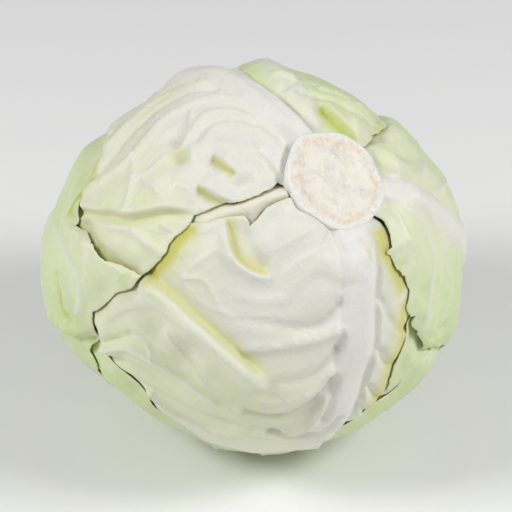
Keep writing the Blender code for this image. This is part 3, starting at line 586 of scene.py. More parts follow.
def triangles(leaf):
    """The leaf's places and triangles: close along its margin and its lines, wider between them."""
    edge = leaf.edge
    steps = [row * FOLD_WIDTH / MM for row in FOLD_ROWS]
    lines = [line for q, *_ in leaf.folds for line in beside(q, *steps)]
    for q, width, *_ in [*leaf.veins, *leaf.ribs, *leaf.waves]:
        lines += beside(q, width) if width < BROAD_RIB else beside(q, *(row * width for row in RIB_ROWS))
    kept = np.zeros((0, 2))
    for q in lines:
        q = q[leaf.margin(q)[0] > 0.6 * EDGE_STEP]
        kept = np.concatenate([kept, spaced(q, kept, 0.45 * LINE_STEP)])
    low, high = edge.min(0), edge.max(0)
    rows = np.arange(low[1], high[1], FILL_STEP * math.sqrt(0.75))
    columns = np.arange(low[0], high[0], FILL_STEP)
    fill = np.array([(x + k % 2 * FILL_STEP / 2, y) for k, y in enumerate(rows) for x in columns])
    fill = fill[leaf.margin(fill)[0] > 0.65 * FILL_STEP]
    points = np.concatenate([edge, kept, spaced(fill, kept, 0.6 * FILL_STEP)])
    sides = [(k, (k + 1) % len(edge)) for k in range(len(edge))]
    made = delaunay_2d_cdt([Vector(p) for p in points], sides, [], 1, 1e-7)
    return np.array([tuple(v) for v in made[0]]), np.array([list(f) for f in made[2]])


def outward(points, faces):
    """The faces, each turned so that it points away from the head's centre."""
    a, b, c = points[faces].transpose(1, 0, 2)
    inward = np.einsum("ij,ij->i", np.cross(b - a, c - a), a) < 0
    return np.where(inward[:, None], faces[:, ::-1], faces)


def shell(d, faces, inner, outer):
    """(points, faces, places) of a closed blade with a rounded rim; places tells each point's source."""
    count = len(d)
    top, under = placed(d, outer), placed(d, inner)
    faces = outward(top, faces)
    sides = {(a, b) for face in faces.tolist() for a, b in zip(face, face[1:] + face[:1])}
    rim = sorted((a, b) for a, b in sides if (b, a) not in sides)
    after, before = dict(rim), {b: a for a, b in rim}
    ring = np.array([a for a, _ in rim])
    run = top[[after[v] for v in ring.tolist()]] - top[[before[v] for v in ring.tolist()]]
    out = np.cross(run, d[ring] @ AXES)
    out /= np.maximum(np.linalg.norm(out, axis=1, keepdims=True), 1e-9)
    bulge = (outer[ring] - inner[ring])[:, None] * RIM_BULGE
    middle = (top[ring] + under[ring]) / 2 + out * bulge
    place = {v: 2 * count + k for k, v in enumerate(ring.tolist())}
    walls = []
    for a, b in rim:
        m, n = place[a], place[b]
        walls += [(b, a, m), (b, m, n), (n, m, a + count), (n, a + count, b + count)]
    points = np.concatenate([top, under, middle])
    faces = np.concatenate([faces, faces[:, ::-1] + count, np.array(walls)])
    return points, faces, np.concatenate([np.arange(count), np.arange(count), ring])


def clear_between(d, faces, inner, pile):
    """The extra lift that keeps the middles of a leaf's inner triangles clear of the pile."""
    extra = np.zeros(len(d))
    for _ in range(CLEAR_PASSES):
        middle = (d * (inner + extra)[:, None])[faces].mean(1)
        radius = np.linalg.norm(middle, axis=1)
        short = pile.radius(middle / radius[:, None]) + 0.5 * GAP - radius
        for k in range(3):
            np.maximum.at(extra, faces[:, k], np.where(short > 0, extra[faces[:, k]] + short, 0))
    return extra


def new_object(name, data):
    made = bpy.data.objects.new(name, data)
    bpy.context.scene.collection.objects.link(made)
    return made


def new_piece(name, points, faces, material, node, values):
    """A smooth mesh round the head's centre that stands for a node, with named numbers at its points."""
    mesh = bpy.data.meshes.new(name)
    mesh.from_pydata(points.tolist(), [], faces.tolist())
    mesh.shade_smooth()
    mesh.materials.append(material)
    for key, numbers in values.items():
        layer = mesh.attributes.new(key, "FLOAT", "POINT")
        layer.data.foreach_set("value", np.asarray(numbers, np.float32))
    piece = new_object(name, mesh)
    piece.location = HEAD_CENTRE
    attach(piece, "root")
    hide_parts(node)


def colours(leaf, above, d, p):
    """What the material needs at each place: rib, painted_shade_and_streak (painted shade in gaps, creases
    and beside margins above, and a listed streak), green, thin and cut, each from 0 to 1.
    """
    rib = np.clip(leaf.height(p, leaf.ribs, 1.2) / RIB_FULL, 0, 1)
    rib = np.maximum(rib, np.clip(leaf.height(p, leaf.veins, 0.65) / VEIN_FULL, 0, VEIN_WHITE))
    # Painted shade: yellow-green along the listed lines, and beside each margin of a leaf that lies above.
    painted_shade_and_streak = np.zeros(len(d))
    for q, width, strength, *only in leaf.painted_shade_and_streak:
        distance, share, side = to_line(p, q, 3 * width * MM)
        fade = smoothstep(8 * share) * smoothstep(8 * (1 - share))
        for one in only:
            fade *= smoothstep(0.5 + one * side * distance / (0.7 * MM))
        painted_shade_and_streak = np.maximum(painted_shade_and_streak, strength * fade * np.exp(-((distance / (width * MM)) ** 2)))
    for other in above:
        outside = -other.margin(other.map.flat(d))[0]
        painted_shade_and_streak = np.maximum(painted_shade_and_streak, UNDER_SHADE * smoothstep(1 - outside / UNDER_WIDTH))
    margin = leaf.margin(p)[0]
    _, reach = turn_and_reach(d)
    green = leaf.green * smoothstep((np.degrees(reach) - GREEN_FROM) / GREEN_OVER)
    green += GREEN_CHANGE * rough_at(d, GREEN_PATCH, leaf.seed + 3)
    for centres, radius, amount in leaf.tint:
        for centre in centres:
            green = green + amount * near(d, centre, radius)
    cut = np.zeros(len(d))
    for q, width in leaf.cut:
        distance, _, _ = to_line(p, q, 3 * width * MM)
        cut = np.maximum(cut, smoothstep(3 - 2.5 * distance / (width * MM)))
    thin = 1 - smoothstep(margin / MARGIN_THIN)
    return {"rib": rib, "painted_shade_and_streak": painted_shade_and_streak, "green": np.clip(green, 0, 1), "thin": thin, "cut": cut}


def knife(d, radius):
    """The radius, cut level with the stem's face near the stem and easing away from it."""
    _, reach = turn_and_reach(d)
    plane = STEM_CUT / np.cos(np.minimum(reach, KNIFE_REACH))
    return np.where(reach < KNIFE_REACH, np.minimum(radius, plane), radius)


def make_leaf(leaf, above, pile, material, rests):
    p, faces = triangles(leaf)
    d = leaf.map.direction(p)
    inner, outer = faces_of(leaf, above, d)
    lift = lift_at(p, leaf, above, pile)
    lift = np.maximum(lift, pile.radius(d) + GAP - inner)
    lift = lift + clear_between(d, faces, inner + lift, pile)
    outer = np.minimum(outer + lift, floor_radius(d, HEAD_LOW + (0 if rests else -SPOT_CLEAR)))
    outer = knife(d, outer)
    inner = np.minimum(inner + lift, outer - LEAST_BLADE)
    points, faces, places = shell(d, faces, inner, outer)
    pile.add(points, faces)
    values = {key: number[places] for key, number in colours(leaf, above, d, p).items()}
    new_piece(leaf.name + "_fine", points, faces, material, leaf.name, values)


# Heart and stem


def make_heart(pile, leaves, material):
    """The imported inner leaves: one body, with the margins of its own outer leaves winding round it."""
    ball = bmesh.new()
    bmesh.ops.create_icosphere(ball, subdivisions=6, radius=1.0)
    d = unit([v.co for v in ball.verts])
    faces = np.array([[v.index for v in f.verts] for f in ball.faces])
    ball.free()
    turn, reach = turn_and_reach(d)
    winding = (HEART_TURNS * turn / (2 * math.pi) + HEART_SLANT * reach) % 1.0
    fade = smoothstep(reach / HEART_FADE) * smoothstep((math.pi - reach) / HEART_FADE)
    margin = winding * smoothstep((1 - winding) / HEART_SOFT) * fade
    crease = 1 - 2 * np.abs(rough_at(d, 22 * MM, 3))
    radius = head_radius(d) - HEART_DEPTH - LAYER * covering(leaves, d)
    radius += HEART_MARGIN * margin + HEART_CREASE * crease + 0.4 * MM * rough_at(d, 7 * MM, 8)
    under_stem = (STEM_ROOT - GAP) / np.maximum(np.cos(reach), LEAST_ROOT_SLOPE)
    radius = np.where(reach < ROOT_SPREAD * STEM_REACH, np.minimum(radius, under_stem), radius)
    points = placed(d, radius)
    faces = outward(points, faces)
    pile.add(points, faces)
    count = len(d)
    # The heart shows only down the gaps, so it takes three quarters of the painted shade colour all over.
    values = {
        "rib": np.clip(crease - 0.6, 0, 1), "painted_shade_and_streak": np.full(count, 0.75), "green": np.full(count, 0.3),
        "thin": np.zeros(count), "cut": np.zeros(count),
    }
    new_piece("heart_fine", points, faces, material, "heart", values)


def make_stem(material):
    """The cut stump: a plug with a rough flat cut face, ringed where its bark and stalks were cut."""
    sides = STEM_SIDES
    turn = np.arange(sides) * 2 * math.pi / sides
    side = np.cos(turn)[:, None] * STEM_RIGHT + np.sin(turn)[:, None] * STEM_UP
    slope = np.tan(stem_reach(turn))[:, None]
    layers, share = [], []
    for out in np.linspace(0.0, 1.0, STEM_RINGS)[1:]:
        flat = side * (STEM_CUT * slope * out)
        spots = [Vector(v) for v in flat.tolist()]
        grain = np.array([noise.noise(v * 420) * 0.5 + noise.noise(v * 1150) * 0.5 for v in spots])
        waves = np.array([noise.noise(v * 110 + Vector((5, 1, 2))) for v in spots])
        rough = 0.20 * grain * smoothstep((1.02 - out) / 0.1) + 0.45 * waves
        ring = 0.15 * math.exp(-(((out - STEM_RING) / 0.08) ** 2)) - 0.25 * smoothstep((0.78 - out) / 0.2)
        lip = -0.25 * smoothstep((out - 0.95) / 0.05) ** 2
        layers.append(flat + STEM * (STEM_CUT + (rough + ring + lip)[:, None] * MM))
        share.append(np.full(sides, out))
    for down in STEM_SKIRT:
        height = STEM_CUT - down * MM
        layers.append(side * height * slope * (1 + 0.012 * min(down, 2.0)) + STEM * height)
        share.append(np.full(sides, 1.0 + 0.1 * down))
    middle = STEM * (STEM_CUT - 0.35 * MM)
    root = STEM * (STEM_CUT - STEM_SKIRT[-1] * MM)
    points = np.concatenate([*layers, [middle], [root]]) @ AXES
    faces = []
    after = [(k + 1) % sides for k in range(sides)]
    for row in range(len(layers) - 1):
        low, high = row * sides, (row + 1) * sides
        for k in range(sides):
            faces += [(low + k, high + k, high + after[k]), (low + k, high + after[k], low + after[k])]
    last, hub = (len(layers) - 1) * sides, len(layers) * sides
    for k in range(sides):
        faces += [(k, after[k], hub), (last + after[k], last + k, hub + 1)]
    across = np.concatenate([*share, [0.0], [2.0]])
    new_piece("stem_fine", points, np.array(faces), material, "stem", {"across": across})


# Materials


def shader_tree(name):
    made = bpy.data.materials.new(name)
    made.use_nodes = True
    return made, made.node_tree, made.node_tree.nodes["Principled BSDF"]


def number(tree, key):
    found = tree.nodes.new("ShaderNodeAttribute")
    found.attribute_name = key
    return found.outputs["Fac"]


def blend_colour(tree, share, first, second):
    """A colour between two, each a tuple or a socket."""
    mix = tree.nodes.new("ShaderNodeMix")
    mix.data_type = "RGBA"
    tree.links.new(share, mix.inputs["Factor"])
    for socket, value in ((mix.inputs["A"], first), (mix.inputs["B"], second)):
        if isinstance(value, tuple):
            socket.default_value = (*value, 1.0)
        else:
            tree.links.new(value, socket)
    return mix.outputs["Result"]


def maths(tree, operation, *values):
    made = tree.nodes.new("ShaderNodeMath")
    made.operation = operation
    for socket, value in zip(made.inputs, values):
        if isinstance(value, (int, float)):
            socket.default_value = value
        else:
            tree.links.new(value, socket)
    return made.outputs[0]


def remap(tree, value, low, high, to_low=0.0, to_high=1.0):
    made = tree.nodes.new("ShaderNodeMapRange")
    tree.links.new(value, made.inputs["Value"])
    for key, amount in (("From Min", low), ("From Max", high), ("To Min", to_low), ("To Max", to_high)):
        made.inputs[key].default_value = amount
    return made.outputs["Result"]


def place_of(tree):
    return tree.nodes.new("ShaderNodeTexCoord").outputs["Object"]


def cloud(tree, size, detail=2.0, roughness=0.5):
    """Soft noise with features of about this size."""
    made = tree.nodes.new("ShaderNodeTexNoise")
    tree.links.new(place_of(tree), made.inputs["Vector"])
    made.inputs["Scale"].default_value = 1 / size
    made.inputs["Detail"].default_value = detail
    made.inputs["Roughness"].default_value = roughness
    return made.outputs[0]


def web(tree, size):
    """1 on the lines of a net of cells of about this size, 0 inside them."""
    bend = tree.nodes.new("ShaderNodeTexNoise")
    tree.links.new(place_of(tree), bend.inputs["Vector"])
    bend.inputs["Scale"].default_value = 1 / size
    moved = tree.nodes.new("ShaderNodeVectorMath")
    moved.operation = "MULTIPLY_ADD"
    tree.links.new(bend.outputs["Color"], moved.inputs[0])
    moved.inputs[1].default_value = (0.8 * size,) * 3
    tree.links.new(place_of(tree), moved.inputs[2])
    cells = tree.nodes.new("ShaderNodeTexVoronoi")
    cells.feature = "DISTANCE_TO_EDGE"
    tree.links.new(moved.outputs[0], cells.inputs["Vector"])
    cells.inputs["Scale"].default_value = 1 / size
    return remap(tree, cells.outputs["Distance"], 0.0, 0.12, 1.0, 0.0)


def bump(tree, shader, *layers):
    """Small relief from (height socket, millimetres) pairs."""
    normal = None
    for value, depth in layers:
        made = tree.nodes.new("ShaderNodeBump")
        made.inputs["Distance"].default_value = depth * MM
        tree.links.new(value, made.inputs["Height"])
        if normal:
            tree.links.new(normal, made.inputs["Normal"])
        normal = made.outputs[0]
    tree.links.new(normal, shader.inputs["Normal"])


def glow(shader, weight, colour, depth):
    """Light that enters a surface and leaves it a little farther on."""
    shader.inputs["Subsurface Weight"].default_value = weight
    shader.inputs["Subsurface Radius"].default_value = colour
    shader.inputs["Subsurface Scale"].default_value = depth * MM


def leaf_material(name, pale, fresh, rib_colour, shade_and_streak_colour):
    made, tree, shader = shader_tree(name)
    rib, painted_shade_and_streak, green, thin, cut = (number(tree, key) for key in ("rib", "painted_shade_and_streak", "green", "thin", "cut"))
    patchy = maths(tree, "ADD", green, remap(tree, cloud(tree, 14 * MM, 3), 0.3, 0.7, -0.12, 0.12))
    colour = blend_colour(tree, patchy, pale, fresh)
    net = web(tree, 7.5 * MM)
    fine_net = web(tree, 2.6 * MM)
    colour = blend_colour(tree, maths(tree, "MULTIPLY", net, 0.30), colour, rib_colour)
    colour = blend_colour(tree, rib, colour, rib_colour)
    streak = maths(tree, "MULTIPLY", cut, remap(tree, cloud(tree, 5 * MM, 3, 0.7), 0.45, 0.62, 0.7, 1.0))
    colour = blend_colour(tree, streak, colour, CUT_WHITE)
    # Painted shade in gaps and creases, and the listed streak, in their yellow-green.
    colour = blend_colour(tree, painted_shade_and_streak, colour, shade_and_streak_colour)
    colour = blend_colour(tree, maths(tree, "MULTIPLY", thin, 0.45), colour, MARGIN_PALE)
    tree.links.new(colour, shader.inputs["Base Color"])
    rough = remap(tree, cloud(tree, 9 * MM, 2), 0.3, 0.7, 0.42, 0.56)
    rough = maths(tree, "ADD", rough, maths(tree, "MULTIPLY", cut, 0.25))
    tree.links.new(rough, shader.inputs["Roughness"])
    glow(shader, 0.3, (1.0, 1.1, 0.4), 1.6)
    shader.inputs["Specular IOR Level"].default_value = 0.42
    scraped = maths(tree, "MULTIPLY", cut, cloud(tree, 1.1 * MM, 4, 0.7))
    bump(tree, shader, (net, 0.08), (fine_net, 0.025), (cloud(tree, 1.6 * MM, 2), 0.02), (scraped, 0.3))
    return made


def stem_material():
    made, tree, shader = shader_tree("cut_stem_face")
    across = number(tree, "across")
    uneven = remap(tree, cloud(tree, 6 * MM, 3, 0.6), 0.3, 0.7, -0.11, 0.11)
    across = maths(tree, "ADD", across, uneven)
    far = maths(tree, "ABSOLUTE", maths(tree, "SUBTRACT", across, STEM_RING))
    ring = remap(tree, far, 0.01, 0.13, 0.85, 0.0)
    specks = remap(tree, cloud(tree, 2.4 * MM, 5, 0.8), 0.40, 0.64)
    colour = blend_colour(tree, remap(tree, cloud(tree, 3.5 * MM, 4, 0.7), 0.35, 0.65), PITH, PITH_PALE)
    colour = blend_colour(tree, maths(tree, "MULTIPLY", ring, specks), colour, BARK_RING)
    cracks = remap(tree, cloud(tree, 1.8 * MM, 6, 0.85), 0.50, 0.60)
    cracks = maths(tree, "MULTIPLY", cracks, remap(tree, cloud(tree, 6 * MM, 2), 0.40, 0.60, 0.1, 0.7))
    colour = blend_colour(tree, cracks, colour, CUT_WHITE)
    colour = blend_colour(tree, remap(tree, across, 0.84, 0.93), colour, CUT_WHITE)
    tree.links.new(colour, shader.inputs["Base Color"])
    shader.inputs["Roughness"].default_value = 0.62
    glow(shader, 0.2, (1.0, 0.8, 0.6), 1.5)
    coarse, fine = cloud(tree, 2.2 * MM, 4, 0.7), cloud(tree, 0.7 * MM, 2)
    bump(tree, shader, (cracks, 0.12), (coarse, 0.2), (fine, 0.08))
    return made


def plain_material(name, colour, roughness):
    made, tree, shader = shader_tree(name)
    shader.inputs["Base Color"].default_value = (*colour, 1.0)
    shader.inputs["Roughness"].default_value = roughness
    return made


# Leaves, each with its strokes round its margin


def leaf_c():
    """The inner leaf left of the stem, of which a thick rib shows."""
    rib = seen((284, 194), (262, 200), (240, 208), (214, 217), (194, 224), (170, 236))
    return Leaf(
        "leaf_c", "inner_leaf", 1, seen((190, 226)),
        [
            foot(228, 192),
            round_stem((186, 16), (174, 34), (172, 58), (178, 82), (192, 98)),
            round_stem((200, 102), (222, 100), (248, 94), (264, 82), (268, 66), (258, 48), (246, 30)),
        ],
        ribs=[(rib, 3.4, 5.0, 0.6)],
        waves=[
            (seen((150, 280), (178, 302), (205, 326), (235, 354), (266, 382)), 7, -0.5, -0.7),
            (seen((232, 222), (238, 242), (250, 258), (268, 270)), 6, -0.5, -0.5),
        ],
        # Painted shade where the front leaf's folds hang over this leaf.
        painted_shade_and_streak=[
            (seen((150, 280), (215, 330), (268, 382)), 9, 0.9),
            (seen((238, 222), (246, 248), (270, 272)), 8, 0.9),
        ],
        green=0.1,
    )


def leaf_a():
    """The big lower front leaf: a broad midrib, two tears, made as sharp folds, and a lobe below them."""
    under = round_stem((296, 106))
    midrib = seen((342, 200), (350, 226), (356, 255), (359, 300), (357, 345), (347, 385), (331, 425))
    midrib += under
    ridge = seen((378, 224), (379, 260), (378, 300), (375, 343), (366, 382), (352, 423))
    ridge += round_stem((300, 98))
    veins = [
        (seen((340, 305), (320, 324), (299, 329), (270, 324), (240, 319)), 2.2, -1.7, -0.7),
        (seen((338, 330), (313, 341), (277, 347), (247, 350)), 2.2, 2.2, 1.0),
        (seen((337, 350), (320, 369), (299, 381), (269, 385)), 2.4, -1.8, -0.7),
        (seen((332, 372), (314, 392), (286, 402), (262, 400)), 2.4, 1.6, 0.8),
        (seen((331, 380), (312, 405), (284, 418), (246, 412)), 2.0, -2.4, -1.2),
        (seen((325, 398), (306, 426), (276, 436), (240, 430)), 2.4, 2.0, 1.0),
        (seen((343, 270), (325, 262), (303, 268), (285, 290)), 4.5, 1.5, 0.6),
        (seen((282, 300), (262, 302), (238, 296)), 2.0, 0.9, 0.5),
    ]
    strip = [
        (seen((381, 300), (387, 320), (398, 328), (411, 330)), 1.7, -1.8, -1.2),
        (seen((379, 306), (388, 325), (400, 333), (410, 334)), 1.6, 1.2, 0.8),
        (seen((377, 348), (384, 361), (394, 366)), 1.7, -1.8, -1.0),
        (seen((369, 386), (375, 396), (384, 401)), 1.6, -1.6, -1.0),
        (seen((361, 405), (365, 412), (372, 415)), 1.5, -1.4, -1.0),
    ]
    lobe_edge = seen((140, 284), (164, 298), (180, 314), (202, 335), (228, 358), (256, 381))
    tear_one = seen(
        (273, 275), (262, 274), (252, 270), (240, 262), (232, 250), (229.5, 239), (227, 226), (223, 212),
    )
    tear_two = seen(
        (270, 381), (250, 366), (233, 352), (207, 328), (191, 314), (174, 298), (157, 285), (130, 270),
    )
    long_vein = seen((98, 350), (112, 351), (130, 349), (150, 360), (189, 386), (216, 401), (262, 420))
    lobe_veins = [
        (long_vein, 2.0, 1.6, 0.8),
        (seen((104, 342), (118, 338), (136, 334), (158, 350), (180, 366)), 1.6, -1.5, -0.6),
        (seen((100, 356), (124, 362), (150, 376), (184, 402)), 1.8, -1.4, -0.6),
        (seen((150, 392), (180, 414), (210, 430), (250, 436)), 1.6, 1.5, 0.8),
        (seen((120, 372), (160, 394), (200, 414), (240, 426)), 1.8, -1.2, -0.8),
        (seen((108, 316), (128, 306), (155, 302)), 1.5, 1.2, 0.8),
        (seen((160, 304), (182, 322), (196, 348), (200, 352)), 1.5, 1.0, 0.8),
    ]
    bounds = [
        (seen((334, 232), (340, 262), (344, 300), (341, 340), (334, 378), (322, 418)), 1.6, -1.2, -1.4),
        (seen((270, 432), (300, 436), (322, 430), (338, 416)), 1.8, -2.2, -2.0),
    ]
    cells = [
        (seen((182, 278), (205, 282), (222, 312), (243, 318), (270, 316)), 0.8, 0.7, 0.3),
        (seen((216, 250), (198, 262), (182, 278), (190, 300)), 0.7, 0.5, 0.3),
        (seen((216, 250), (228, 256), (240, 266)), 0.7, 0.5, 0.3),
        (seen((222, 312), (208, 308), (196, 300)), 0.7, 0.5, 0.3),
        (seen((306, 232), (282, 246), (262, 254)), 0.8, 0.6, 0.3),
        (seen((318, 250), (296, 262), (280, 278)), 0.8, 0.6, 0.3),
        (seen((98, 349), (112, 349), (130, 346), (150, 357), (189, 384), (216, 400)), 0.9, 1.1, 0.6),
        (seen((152, 393), (180, 413), (206, 428)), 0.8, 0.9, 0.4),
        (seen((136, 333), (148, 344), (152, 357)), 0.7, 0.7, 0.5),
        (seen((168, 330), (178, 350), (190, 366), (204, 384)), 0.7, 0.6, 0.4),
    ]
    hidden = branches(seen((347, 385), (331, 425)) + under, (0.55, 0.8), (1, -1), 36, 1.2, 0.6)
    return Leaf(
        "leaf_a", "pale_leaf", 2, seen((290, 325)),
        [
            foot(336, 238),
            seen((302, 207), (291, 200), (278, 203), (267, 208)),
            seen((266, 209), (259, 219), (251, 225)),
            seen((250, 226), (246, 219), (241, 215)),
            seen(
                (234, 217), (225, 218), (209, 222), (196, 223), (180, 221), (162, 234), (148, 250),
                (132, 266),
            ),
            seen((114, 280), (98, 292), (84, 308)),
            seen((82, 322), (85, 334), (88, 346)),
            seen(
                (92, 354), (101, 364), (119, 383), (131, 394), (139, 406), (151, 418), (167, 427),
                (182, 437), (203, 445), (226, 451),
            ),
            round_stem((267, 111), (266, 119), (276, 127), (292, 128), (306, 120), (318, 106), (328, 94)),
            round_stem((336, 84), (340, 66), (342, 50), (342, 36), (340, 24)),
        ],
        ribs=[(midrib, 7.2, 4.4, 0.6)],
        veins=[*cells, *hidden],
        waves=[
            *veins, *strip, *lobe_veins,
            (lobe_edge, 3.4, 2.4, 2.8),
            (seen((226, 238), (232, 256), (247, 270), (266, 278)), 2.2, 1.2, 1.0),
            (seen((241, 216), (245, 234), (251, 249), (264, 264)), 2.6, -1.6, -1.0),
            *bounds,
        ],
        folds=[(ridge, 1.0, 2.0), (tear_one, 1.0, 2.8), (tear_two, 1.8, 2.6)],
        bumps=[
            (seen((296, 226)), 12, 2.4),
            (seen((252, 292), (300, 365)), 12, -1.0),
            (seen((205, 262)), 12, -0.8),
            (seen((160, 330), (188, 356), (120, 352), (196, 345)), 5, -1.4),
            (seen((172, 334), (205, 372), (140, 328)), 5, 1.0),
            (seen((392, 306), (388, 345)), 7, 1.2),
        ],
        ripples=[
            (seen((110, 350), (150, 372), (205, 405)), 3.0, 0.22, 3.0),
            (seen((130, 385), (180, 418), (230, 436)), 3.0, 0.25, 2.6),
        ],
        crumples=[(seen((112, 330), (140, 345), (165, 340)), 8, 0.8, 11), (seen((240, 425)), 12, 0.5, 12)],
        # Painted shade under the upper leaf's margin, along the low side of the two folds and in the gaps
        # under the right leaf.
        painted_shade_and_streak=[
            (seen((198, 220), (184, 230), (172, 246), (160, 261), (148, 273), (138, 281)), 5.0, 1.0),
            (tear_one, 4.6, 0.7, -1),
            (tear_one, 1.6, 1.0, -1),
            (tear_two, 2.8, 0.7, -1),
            (tear_two, 1.2, 1.0, -1),
            (seen((382, 222), (386, 244), (396, 268), (408, 296)), 5.6, 0.9),
            (seen((405, 292), (404, 330), (395, 360), (381, 394), (364, 414)), 5.2, 0.85),
            # A yellow-green streak in the shaved midrib: the leaf's own colour.
            (seen((357, 236), (362, 248), (369, 264)), 0.6, 0.5),
        ],
        cut=[
            (seen((345, 221), (356, 240), (362, 262)), 6.0),
            (seen((366, 224), (369, 250), (372, 272)), 4.0),
        ],
        tint=[
            # The lower lobe greener: partly the leaf's own green, partly painted shade for its dimmer lower
            # side.
            (seen((150, 370), (200, 400), (120, 340), (250, 420)), 24, 0.5),
            (seen((300, 230)), 24, -0.5),
            (seen((200, 255)), 16, 0.15),
        ],
        green=0.25,
        hug=0.8,
    )


def leaf_b():
    """The leaf round the underside and the crown, whose margin shows at the lower right and lower left."""
    stalk = round_stem((340, 20), (339, 50), (340, 80), (342, 108), (348, 132))
    low = round_stem((310, 104), (285, 116), (262, 126), (230, 130))
    return Leaf(
        "leaf_b", "green_leaf", 3, round_stem((285, 140)),
        [
            seen((412, 330), (402, 360), (395, 376)),
            seen((389, 393), (394, 392), (401, 386)),
            seen((406, 383), (395, 394), (383, 403), (368, 415), (355, 424), (343, 433), (331, 441)),
            [*round_stem((296, 101), (286, 106), (276, 111)), *seen((219, 447), (196, 437), (177, 427))],
            seen((162, 418), (146, 402), (139, 391), (118, 372), (101, 357)),
            round_stem((214, 95), (206, 104), (196, 118), (188, 134), (178, 146), (162, 150)),
            round_stem(
                (140, 155), (116, 163), (60, 171), (20, 164), (12, 150), (14, 130), (6, 108), (356, 88),
                (350, 70), (347, 50), (346, 34), (346, 20),
            ),
            foot(348, 342),
            round_stem((341, 20), (336, 30), (326, 42)),
        ],
        ribs=[(stalk, 4.5, 2.6, 1.2)],
        veins=[
            (seen((436, 352), (420, 366), (404, 381)), 1.0, 0.9, 0.7),
            (low, 1.6, 0.9, 0.5),
            *branches(stalk, (0.35, 0.5, 0.65, 0.8), (1, -1), 52, 1.1, 0.8),
            *branches(low, (0.15, 0.35, 0.55, 0.75), (1, -1), 36, 0.9, 0.5),
        ],
        waves=[(round_stem((225, 112), (240, 120), (258, 124)), 3.5, -1.4, -1.2)],
        bumps=[(round_stem((232, 138), (262, 152), (340, 152)), 9, -1.6)],
        green=0.7,
        free=0.15,
        torn=0.6,
        hug=1.3,
    )


def leaf_s():
    """The right leaf, white at its foot, with a ragged margin over the front leaf."""
    behind = round_stem((2, 48), (3, 66), (6, 88), (10, 112))
    midrib = [*seen((368, 184), (386, 186), (405, 190), (430, 204), (452, 230)), *behind]
    return Leaf(
        "leaf_s", "green_leaf", 4, seen((440, 240)),
        [
            foot(56, -30),
            seen((383, 214), (390, 221), (394, 232), (393, 245), (389, 253)),
            seen((393, 256), (398, 268), (407, 277), (412, 287), (413, 296), (409, 309)),
            seen((413, 317), (418, 318), (416, 326), (421, 338)),
            seen((427, 350), (436, 349), (444, 347)),
            round_stem((337, 76), (341, 92), (348, 108), (358, 124), (12, 137), (30, 141), (46, 134)),
            round_stem((58, 120), (64, 104), (66, 86), (65, 66), (64, 46), (62, 30), (60, 18)),
        ],
        ribs=[(midrib, 5.2, 3.2, 0.6)],
        veins=[
            (seen((406, 208), (422, 226), (431, 262), (430, 300), (424, 325)), 1.0, 1.0, 0.6),
            (seen((420, 206), (440, 240), (448, 280), (444, 320)), 1.0, 1.0, 0.6),
            (seen((400, 214), (408, 236), (410, 262)), 0.9, 0.8, 0.5),
            (seen((412, 186), (424, 160), (420, 138)), 1.0, 1.0, 0.5),
            (seen((430, 196), (448, 180), (444, 160)), 1.0, 1.0, 0.5),
            *branches(behind, (0.05, 0.3, 0.55, 0.8), (1, -1), 46, 1.0, 0.7),
        ],
        waves=[
            (seen((392, 178), (412, 183), (432, 195), (456, 220)), 2.4, -1.7, -1.2),
            (seen((388, 160), (408, 170), (432, 176), (446, 196)), 4.5, 1.6, 0.8),
            (seen((430, 346), (437, 336), (446, 327)), 1.6, -2.0, -1.4),
            (seen((420, 330), (428, 345), (440, 340)), 2.0, 1.4, 1.0),
        ],
        bumps=[
            (seen((400, 262), (424, 290), (444, 268)), 4.5, -1.8),
            (seen((404, 240), (430, 326), (424, 312)), 4.5, 1.4),
            (seen((384, 140), (396, 152), (404, 134)), 4.0, -1.4),
            (seen((392, 130), (410, 150)), 4.0, 1.2),
            (round_stem((20, 120), (355, 110)), 8, -1.8),
        ],
        crumples=[
            (seen((398, 262), (404, 244)), 5, 1.5, 6),
            (seen((424, 330), (436, 338)), 7, 1.4, 8),
            (seen((388, 138), (400, 132)), 7, 1.2, 8),
            (seen((416, 280), (424, 306)), 7, 0.8, 7),
        ],
        # Painted shade in a crumple and in a groove near the margin.
        painted_shade_and_streak=[
            (seen((396, 268), (400, 262), (404, 270)), 1.4, 0.4),
            (seen((420, 338), (428, 348), (440, 344)), 1.5, 0.5),
        ],
        tint=[
            (seen((392, 190), (410, 200)), 20, -0.9),
            (seen((396, 165)), 14, -0.7),
            (seen((440, 300)), 26, 0.3),
            (seen((420, 130)), 16, 0.3),
        ],
        green=0.6,
        free=0.4,
        torn=0.9,
    )


